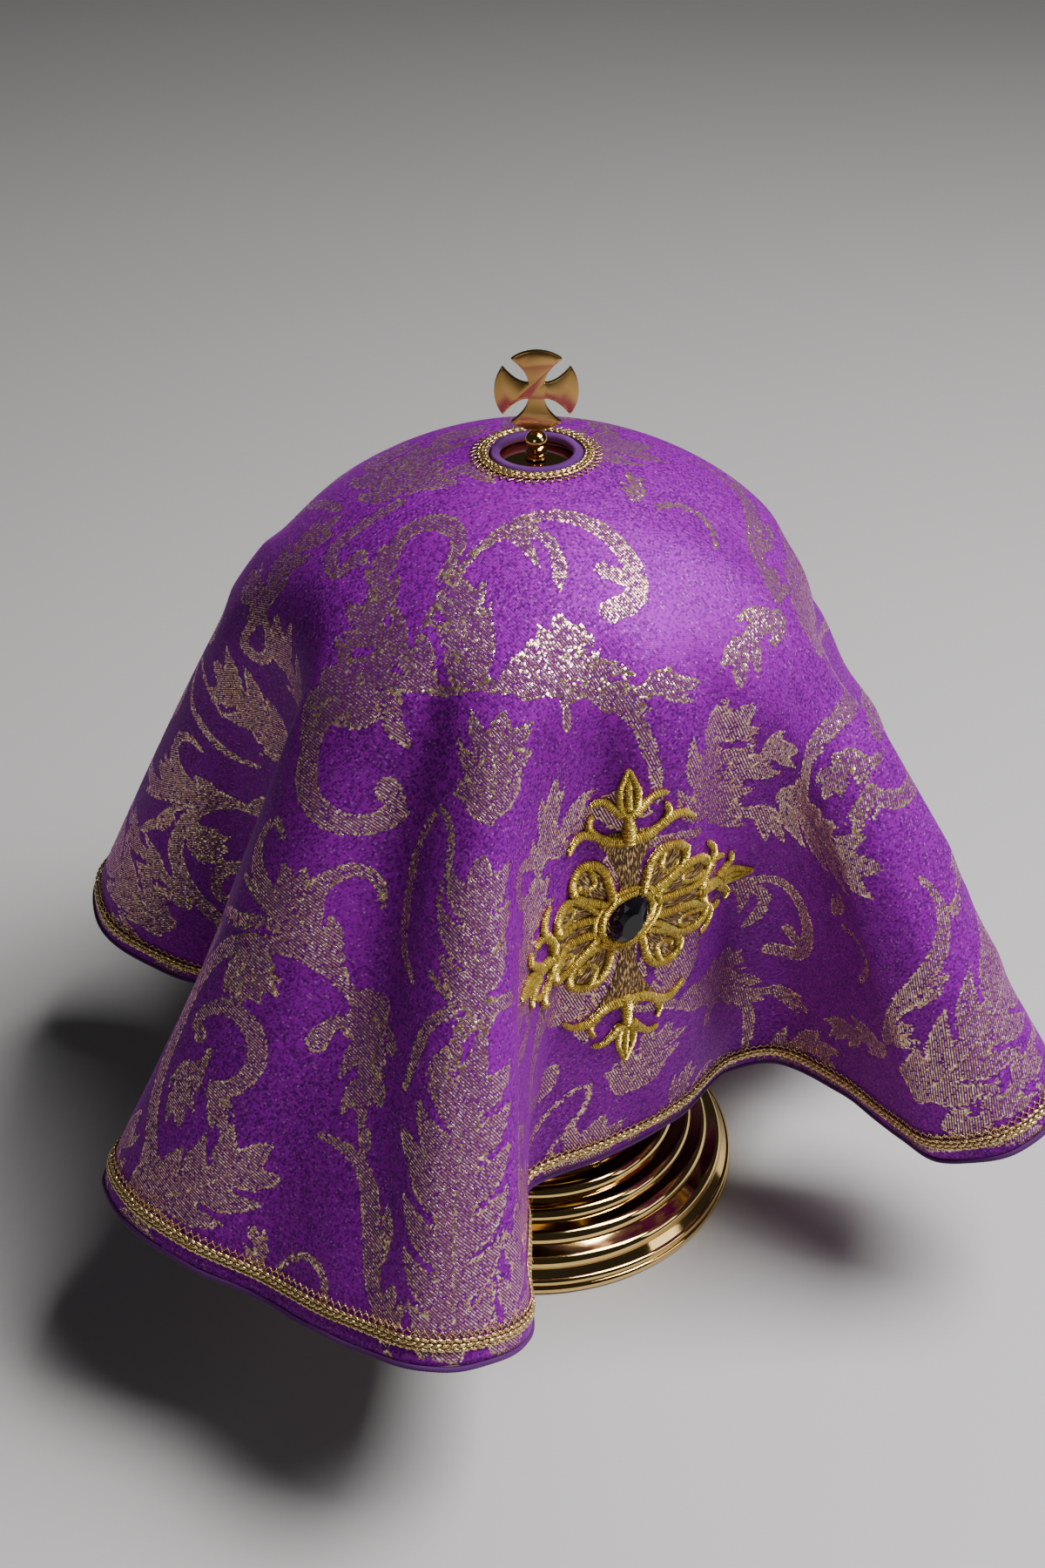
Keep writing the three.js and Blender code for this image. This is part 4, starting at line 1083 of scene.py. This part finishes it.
def satin_cord(line, root, end, turn):
    """A padded cord laid along a line of the cross: its points, faces and uv in mm."""
    sides = CORD_SIDES
    length = line_length(smooth_line(line, 60))
    steps = max(6, round(length / CORD_STEP))
    path = smooth_line(line, steps)
    share, distance = cross_place(path[:, 0], path[:, 1], turn)
    centre = cloth_at(share, distance, np.full(steps, CORD_LIFT * 0.5))
    _, _, normal = across_and_down(cloth_face, share, distance)
    way = unit(np.gradient(centre, axis=0))
    side = unit(np.cross(way, normal))
    part = np.linspace(0, 1, steps)
    from_end = np.minimum(part, 1 - part) * length
    width = (root + (end - root) * part) * np.sqrt(np.clip(from_end / 0.9, 0.05, 1))
    width = width * (1 + 0.045 * np.sin(np.arange(steps) * 2.3 + turn))
    angle = np.arange(sides) / sides * 2 * math.pi
    size = width[:, None] * (1 + CORD_UNEVEN * cord_chance.standard_normal((steps, sides)))
    rings = (centre[:, None, :]
             + side[:, None, :] * (size * np.cos(angle) * MM)[..., None]
             + normal[:, None, :] * (size * 0.85 * np.sin(angle) * MM)[..., None])
    faces = []
    for i in range(steps - 1):
        for k in range(sides):
            s = (k + 1) % sides
            faces.append((i * sides + k, (i + 1) * sides + k, (i + 1) * sides + s, i * sides + s))
    faces.append(tuple(range(sides)))
    faces.append(tuple((steps - 1) * sides + k for k in reversed(range(sides))))
    return rings.reshape(-1, 3), faces, grid_uv(part * length, angle / (2 * math.pi))


def filled_panel(outline, turn, thickness=0.6):
    """A low pad inside a closed outline: rings that shrink to the middle, and a flat back."""
    edge = smooth_line([*outline, outline[0]], 49)[:-1]
    middle = edge.mean(0)
    levels = [(1.0, -0.2), (1.0, 0.25), (0.9, 0.5), (0.65, 0.85), (0.35, 1.0), (0.04, 1.0)]
    grid = np.stack([middle + (edge - middle) * size for size, _ in levels])
    rise = np.array([height * thickness for _, height in levels])[:, None] + 0 * grid[..., 0]
    shares, distances = cross_place(grid[..., 0], grid[..., 1], turn)
    points = cloth_at(shares, distances, rise)
    columns = len(edge)
    faces = []
    for i in range(len(levels) - 1):
        for k in range(columns):
            n = (k + 1) % columns
            faces.append((i * columns + k, i * columns + n, (i + 1) * columns + n,
                          (i + 1) * columns + k))
    faces.append(tuple(reversed(range(columns))))
    faces.append(tuple((len(levels) - 1) * columns + k for k in range(columns)))
    return points.reshape(-1, 3), faces, grid.reshape(-1, 2)


def gathered(parts):
    points = []
    faces = []
    uvs = []
    total = 0
    for part_points, part_faces, part_uv in parts:
        points.append(part_points)
        uvs.append(part_uv)
        faces += [tuple(total + corner for corner in face) for face in part_faces]
        total += len(part_points)
    return np.concatenate(points), faces, np.concatenate(uvs)


def mirrored(line):
    return [(outward, -sideways) for outward, sideways in line]


def lengthened(line, size):
    return [(outward * size, sideways) for outward, sideways in line]


def outward_normals(piece):
    bpy.ops.object.select_all(action="DESELECT")
    piece.select_set(True)
    bpy.context.view_layer.objects.active = piece
    bpy.ops.object.mode_set(mode="EDIT")
    bpy.ops.mesh.select_all(action="SELECT")
    bpy.ops.mesh.normals_make_consistent(inside=False)
    bpy.ops.object.mode_set(mode="OBJECT")


def satin_stitch_material():
    """Glossy threads laid side by side across each cord, no two of the same tone, with painted
    shade darkening each thread towards the grooves at its edges.
    """
    gold, surface = new_material("gold_satin_stitch")
    split = add_node(gold, "ShaderNodeSeparateXYZ", {0: uv_of(gold)})
    turns = result(gold, "DIVIDE", split.outputs[0], STITCH_PITCH)
    turns = result(gold, "MULTIPLY_ADD", split.outputs[1], 1.0, turns)
    strand = result(gold, "MULTIPLY", result(gold, "PINGPONG", turns, 0.5), 2.0)
    number = result(gold, "FLOOR", turns)
    luck = add_node(gold, "ShaderNodeTexWhiteNoise", {"W": number}, noise_dimensions="1D")
    dust = noise_of(gold, place_on(gold), 1900.0)
    # painted shade: the colour darkens towards each thread's edges, in the grooves between
    # threads; the rest of the tone is random per thread and dust
    tone = result(gold, "MULTIPLY", strand, 0.45)
    tone = result(gold, "MULTIPLY_ADD", luck.outputs[0], 0.45, tone)
    tone = result(gold, "MULTIPLY_ADD", dust, 0.5, tone)
    height = result(gold, "MULTIPLY_ADD", dust, 0.3, strand)
    set_inputs(gold, surface, {
        "Base Color": colour_mix(gold, ramp_of(gold, tone, 0.25, 0.80),
                                 (0.46, 0.17, 0.003, 1), (1.0, 0.77, 0.12, 1)),
        "Metallic": 0.6, "Roughness": 0.25, "Normal": bump_of(gold, height, 1.0, 0.0006),
        "Sheen Weight": 0.1, "Sheen Tint": (1.0, 0.85, 0.45, 1)})
    return gold


def fill_stitch_material():
    """Loose metal thread run along the arm over a brown ground."""
    gold, surface = new_material("gold_fill_stitch")
    uv = uv_of(gold)
    layers = []
    for turn, shift in ((14, 0.0), (-16, 7.0)):
        layers.append(noise_of(gold, stretched(gold, uv, (0.45, 2.6, 1), turn, shift), 1.0))
    thread = result(gold, "MAXIMUM", *layers)
    tone = ramp_of(gold, thread, 0.55, 0.69)
    set_inputs(gold, surface, {
        "Base Color": colour_mix(gold, tone, (0.075, 0.026, 0.008, 1), (1.0, 0.66, 0.24, 1)),
        "Metallic": ramp_of(gold, tone, 0, 1, 0.3, 0.95),
        "Roughness": ramp_of(gold, tone, 0, 1, 0.6, 0.3),
        "Normal": bump_of(gold, thread, 0.8, 0.0006)})
    return gold


cord_parts = []
panel_parts = []
for arm, size in ARM_SIZES.items():
    for line, root, end in ARM_CORDS:
        cord_parts.append(satin_cord(lengthened(line, size), root, end, arm))
        cord_parts.append(satin_cord(lengthened(mirrored(line), size), root, end, arm))
    for line, root, end in ARM_SPINE:
        cord_parts.append(satin_cord(lengthened(line, size), root, end, arm))
    for outline in (ARM_PANEL, BUD_PANEL):
        whole = [*outline, *mirrored(outline[::-1])]
        panel_parts.append(filled_panel(lengthened(whole, size), arm))
for index, turn in enumerate(SCROLL_TURNS):
    flip = mirrored if index % 2 else list
    for line, root, end in SCROLL_CORDS:
        cord_parts.append(satin_cord(flip(line), root, end, turn))
    panel_parts.append(filled_panel(flip(SCROLL_PANEL), turn, 0.9))

STONE_LEAN = 18
ring_turns = np.linspace(0, 2 * math.pi, 49)
for long_half, wide_half, half_width in ((8.7, 6.2, 1.2), (10.4, 8.2, 0.8)):
    lean = math.radians(STONE_LEAN)
    oval_up = long_half * np.cos(ring_turns)
    oval_side = wide_half * np.sin(ring_turns)
    oval = list(zip(oval_up * math.cos(lean) - oval_side * math.sin(lean),
                    oval_up * math.sin(lean) + oval_side * math.cos(lean)))
    cord_parts.append(satin_cord(oval, half_width, half_width, 0))

cord_points, cord_faces, cord_uv = gathered(cord_parts)
panel_points, panel_faces, panel_uv = gathered(panel_parts)
cross_cords = mesh_piece("cross_cords", cord_points, cord_faces, satin_stitch_material(), cord_uv)
cross_panels = mesh_piece("cross_panels", panel_points, panel_faces, fill_stitch_material(),
                          panel_uv)
for piece in (cross_cords, cross_panels):
    outward_normals(piece)
    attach(piece, "root")
    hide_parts("cross_applique")

# Stone: a black oval glass stone with a flat table and two rows of cut facets, glued and
# stitched round in the middle of the cross.
STONE_LONG = 7.7
STONE_WIDE = 4.8
STONE_SIDES = 16
STONE_LEVELS = [(1.0, 0.9), (1.0, 1.6), (0.84, 2.8), (0.56, 3.9)]
stone_share, stone_distance = cross_place(np.array([0.0]), np.array([0.0]), 0)
stone_seat = cloth_at(stone_share, stone_distance, np.array([0.0]))[0]
_, stone_down, stone_normal = across_and_down(cloth_face, stone_share, stone_distance)
stone_up = -stone_down[0] / np.linalg.norm(stone_down[0])
stone_normal = stone_normal[0]
stone_side = np.cross(stone_up, stone_normal)
lean = math.radians(STONE_LEAN + CROSS_LEAN)
stone_points = []
for level, (size, rise) in enumerate(STONE_LEVELS):
    for k in range(STONE_SIDES):
        angle = (k + 0.5 * (level == 2)) / STONE_SIDES * 2 * math.pi
        a = STONE_LONG * size * math.cos(angle)
        b = STONE_WIDE * size * math.sin(angle)
        stone_points.append(stone_seat + (stone_up * (a * math.cos(lean) - b * math.sin(lean))
                                          + stone_side * (a * math.sin(lean) + b * math.cos(lean))
                                          + stone_normal * rise) * MM)
stone_faces = [tuple(range(STONE_SIDES))]
stone_faces.append(tuple(3 * STONE_SIDES + k for k in reversed(range(STONE_SIDES))))
for k in range(STONE_SIDES):
    n = (k + 1) % STONE_SIDES
    p = (k - 1) % STONE_SIDES
    low, girdle, crown, top = (level * STONE_SIDES for level in range(4))
    stone_faces.append((low + k, girdle + k, girdle + n, low + n))
    stone_faces.append((girdle + k, crown + k, girdle + n))
    stone_faces.append((girdle + k, crown + p, crown + k))
    stone_faces.append((crown + k, top + k, top + n))
    stone_faces.append((crown + p, top + k, crown + k))


def stone_material():
    glass, surface = new_material("black_cut_stone")
    cloud = noise_of(glass, place_on(glass), 90.0)
    set_inputs(glass, surface, {
        "Base Color": colour_mix(glass, cloud, (0.002, 0.002, 0.003, 1),
                                 (0.012, 0.01, 0.014, 1)),
        "Roughness": ramp_of(glass, cloud, 0.3, 0.7, 0.03, 0.07),
        "IOR": 1.33, "Coat Weight": 0.1, "Coat Roughness": 0.02})
    return glass


cut_stone = mesh_piece("cut_stone", np.array(stone_points), stone_faces, stone_material())
cut_stone.data.polygons.foreach_set("use_smooth", [False] * len(cut_stone.data.polygons))
outward_normals(cut_stone)
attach(cut_stone, "root")
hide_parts("cross_stone")

# Ciborium: spun and turned brass, gilded and mirror polished. The foot is a stack of
# turned beads, the stem screws together, and the lid lifts off by its finial.
TURN_STEPS = 160
SAME_PLACE = 0.00001     # points nearer than this are merged, in metres


def drawn_line(name, points):
    """A line of vertices drawn in edit mode, the starting point of turned and cut pieces."""
    bpy.ops.object.select_all(action="DESELECT")
    bpy.ops.mesh.primitive_plane_add(size=MM, location=(0, 0, 0))
    piece = bpy.context.active_object
    piece.name = name
    piece.data.name = name
    bpy.ops.object.mode_set(mode="EDIT")
    bpy.ops.mesh.select_all(action="SELECT")
    bpy.ops.mesh.merge(type="CENTER")
    bpy.ops.transform.translate(value=points[0])
    for here, there in zip(points, points[1:]):
        step = tuple(b - a for a, b in zip(here, there))
        bpy.ops.mesh.extrude_region_move(TRANSFORM_OT_translate={"value": step})
    bpy.ops.mesh.select_all(action="SELECT")
    return piece


def arc(radius, height, size, start, end, steps):
    angles = [math.radians(start + (end - start) * i / steps) for i in range(steps + 1)]
    return [(radius + size * math.sin(a), height + size * math.cos(a)) for a in angles]


def turned_piece(name, node, profile, material, steps=TURN_STEPS):
    """Spins a closed profile of radius and height in mm about the vessel's axis."""
    points = [(radius * MM, 0, height * MM) for radius, height in profile]
    piece = drawn_line(name, points)
    bpy.ops.mesh.spin(steps=steps, angle=2 * math.pi, center=(0, 0, 0), axis=(0, 0, 1))
    bpy.ops.mesh.select_all(action="SELECT")
    bpy.ops.mesh.remove_doubles(threshold=SAME_PLACE)
    bpy.ops.mesh.normals_make_consistent(inside=False)
    bpy.ops.object.mode_set(mode="OBJECT")
    bpy.ops.object.shade_smooth_by_angle(angle=math.radians(35))
    piece.data.materials.clear()
    piece.data.materials.append(material)
    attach(piece, "root")
    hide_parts(node)
    return piece


def polished_gold_material(name, smooth, worn, dark, light):
    """Gilding with a few duller smears, and the fine rings that turning leaves."""
    gold, surface = new_material(name)
    place = place_on(gold)
    smear = noise_of(gold, place, 38.0, 5.0)
    rings = noise_of(gold, stretched(gold, place, (1, 1, 260)), 6.0, 3.0)
    set_inputs(gold, surface, {
        "Base Color": colour_mix(gold, ramp_of(gold, smear, 0.3, 0.75), dark, light),
        "Roughness": ramp_of(gold, smear, 0.4, 0.8, smooth, worn),
        "Normal": bump_of(gold, rings, 0.04, 0.0002),
        "Metallic": 1.0})
    return gold


gilt = polished_gold_material("polished_gilt_brass", 0.05, 0.13,
                              (0.86, 0.55, 0.18, 1), (0.96, 0.68, 0.27, 1))

# bead of the foot: radius, height, size (mm)
FOOT_BEADS = [
    (60.9, 1.4, 1.4), (60.7, 4.2, 1.4), (56.4, 8.4, 2.9), (51.4, 13.2, 3.1),
    (46.6, 17.6, 2.8), (41.0, 21.4, 3.2), (34.2, 25.4, 3.4),
]
foot_profile = [(0, 0), (60.4, 0)]
for index, (radius, height, size) in enumerate(FOOT_BEADS):
    foot_profile += arc(radius, height, size, 150 if index == 0 else 105, 8, 8)
foot_profile += [(27, 28.4), (24, 29.5), (20.5, 30.7), (18, 32), (15.6, 33.8), (14.3, 36),
                 (14, 37), (14, 38), (0, 38)]
foot_turned = turned_piece("foot_turned", "foot", foot_profile, gilt)

stem_profile = [(0, 38.3), (11, 38.3), (11, 41), (10, 42.2), (7.6, 44), (6.5, 46.3), (6.5, 57)]
stem_profile += [(9, 59.5)] + arc(0, 72, 15, 140, 40, 16)[1:-1] + [(9, 84.5)]
stem_profile += [(6.5, 87), (6.5, 95.2), (7.6, 98.5), (10, 101), (11, 102.2), (11, 105.2),
                 (0, 105.2)]
stem_turned = turned_piece("stem_turned", "stem", stem_profile, gilt)

CUP_OUTSIDE = [(25, 110), (38, 118), (49, 130), (57, 148), (61, 171.5), (62.5, 193.6)]
CUP_INSIDE = [(60.5, 193.6), (59, 171.5), (55, 149), (47, 131.5), (36, 120), (24, 112.5)]
cup_profile = [(0, 105.5), (11, 105.5), *map(tuple, smooth_line(CUP_OUTSIDE, 26)),
               (62.5, 197.2), (62.1, 197.6), (60.9, 197.6), (60.5, 197.2),
               *map(tuple, smooth_line(CUP_INSIDE, 26)), (0, 107.5)]
cup_turned = turned_piece("cup_turned", "cup", cup_profile, gilt)

lid_edge = (69.9 * math.sin(math.radians(36)), CROWN_CENTRE_Z + 69.9 * math.cos(math.radians(36)))
lid_rim = lid_edge[0] + 24
lid_profile = arc(0, CROWN_CENTRE_Z, 93.9, 0, 35, 14) + arc(*lid_edge, 24, 36, 90, 12)
lid_profile += [(lid_rim, 197.9), (lid_rim - 2, 197.9)]
lid_profile += arc(*lid_edge, 22, 90, 40, 10) + arc(0, CROWN_CENTRE_Z, 91.9, 33, 0, 14)
lid_turned = turned_piece("lid_turned", "lid", lid_profile, gilt)

finial_profile = [(0, 241.7), (2.9, 241.7), (2.9, 242.2), (2.2, 242.5), (2.6, 242.8),
                  (2.7, 243.0), (2.6, 243.2), (1.7, 243.5)]
finial_profile += arc(0, 246.1, 2.85, 144, 0, 14)
finial_turned = turned_piece("finial_ball", "finial_stem", finial_profile, gilt, 64)

CROSS_HEIGHT = 259.95
CROSS_OUTER = 10.7
CROSS_WAIST = 2.05
CROSS_FLARE = 6.45
CROSS_THICK = 1.6
arm_reach = math.sqrt(CROSS_OUTER ** 2 - CROSS_FLARE ** 2)
arm_tip = math.atan2(CROSS_FLARE, arm_reach)
cross_line = []
for arm in range(4):
    turn = arm * math.pi / 2
    half = []
    for t in np.linspace(0, 1, 9):
        pull = 2 * t * (1 - t)
        half.append(((1 - t) ** 2 * CROSS_WAIST + pull * arm_reach * 0.62 + t * t * arm_reach,
                     (1 - t) ** 2 * CROSS_WAIST + pull * CROSS_WAIST * 1.05 + t * t * CROSS_FLARE))
    rim = [(CROSS_OUTER * math.cos(a), CROSS_OUTER * math.sin(a))
           for a in np.linspace(-arm_tip, arm_tip, 13)[1:-1]]
    outline = [(along, -side) for along, side in half] + rim + half[::-1][:-1]
    for along, side in outline:
        cross_line.append(((along * math.cos(turn) - side * math.sin(turn)) * MM,
                           -CROSS_THICK / 2 * MM,
                           (CROSS_HEIGHT + along * math.sin(turn) + side * math.cos(turn)) * MM))
finial_cross_cut = drawn_line("finial_cross_cut", cross_line)
bpy.ops.mesh.remove_doubles(threshold=SAME_PLACE)
bpy.ops.mesh.edge_face_add()
bpy.ops.mesh.select_all(action="SELECT")
bpy.ops.mesh.extrude_region_move(TRANSFORM_OT_translate={"value": (0, CROSS_THICK * MM, 0)})
bpy.ops.mesh.select_all(action="SELECT")
bpy.ops.mesh.normals_make_consistent(inside=False)
bpy.ops.object.mode_set(mode="OBJECT")
bevel = finial_cross_cut.modifiers.new("bevel", "BEVEL")
bevel.width = 0.22 * MM
bevel.segments = 2
bevel.angle_limit = math.radians(40)
bpy.ops.object.modifier_apply(modifier="bevel")
bpy.ops.object.shade_smooth_by_angle(angle=math.radians(28))
finial_cross_cut.data.materials.clear()
# The finial cross's gilt is painted darker than the vessel's, a painted reflection of dark
# surroundings in its flat faces.
finial_cross_cut.data.materials.append(polished_gold_material(
    "brushed_gilt_painted_dark_reflection", 0.2, 0.3, (0.52, 0.28, 0.085, 1), (0.74, 0.46, 0.16, 1)))
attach(finial_cross_cut, "root")
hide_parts("finial_cross")

# Floor and light: a plain pale table top under soft light, the main one high over the
# vessel and a little to the right, so that the folds keep their dark sides to the left.
bpy.ops.object.select_all(action="DESELECT")
bpy.ops.mesh.primitive_plane_add(size=8, location=(0, 0, 0))
floor = bpy.context.active_object
floor.name = "floor"
floor_paint, floor_surface = new_material("pale_floor")
floor_noise = noise_of(floor_paint, place_on(floor_paint), 3.0)
floor_colour = colour_mix(floor_paint, floor_noise, (0.50, 0.49, 0.48, 1), (0.54, 0.53, 0.52, 1))
set_inputs(floor_paint, floor_surface, {"Base Color": floor_colour, "Roughness": 0.55})
floor.data.materials.append(floor_paint)

world = bpy.data.worlds.new("studio")
world.use_nodes = True
sky = world.node_tree.nodes["Background"]
set_inputs(world, sky, {"Color": (0.80, 0.82, 0.86, 1), "Strength": 0.03})
bpy.context.scene.world = world

# light: place, aim, width, power
LIGHTS = [
    ("key", (0.58, -0.10, 1.10), (0.02, 0.0, 0.16), 0.62, 28.5),
    ("front", (-0.55, -1.60, 0.72), (0.0, -0.05, 0.12), 0.6, 1.6),
    ("side", (1.1, -0.35, 0.55), (0.0, 0.0, 0.12), 0.4, 1.0),
]
for name, place, aim, width, power in LIGHTS:
    lamp = bpy.data.lights.new(name, "AREA")
    lamp.size = width
    lamp.energy = power
    lamp_object = bpy.data.objects.new(name, lamp)
    way = np.array(aim) - np.array(place)
    flat_way = math.hypot(way[0], way[1])
    bearing = math.atan2(way[1], way[0]) - math.pi / 2
    lamp_object.rotation_euler = (math.atan2(flat_way, -way[2]), 0, bearing)
    lamp_object.location = place
    bpy.context.scene.collection.objects.link(lamp_object)
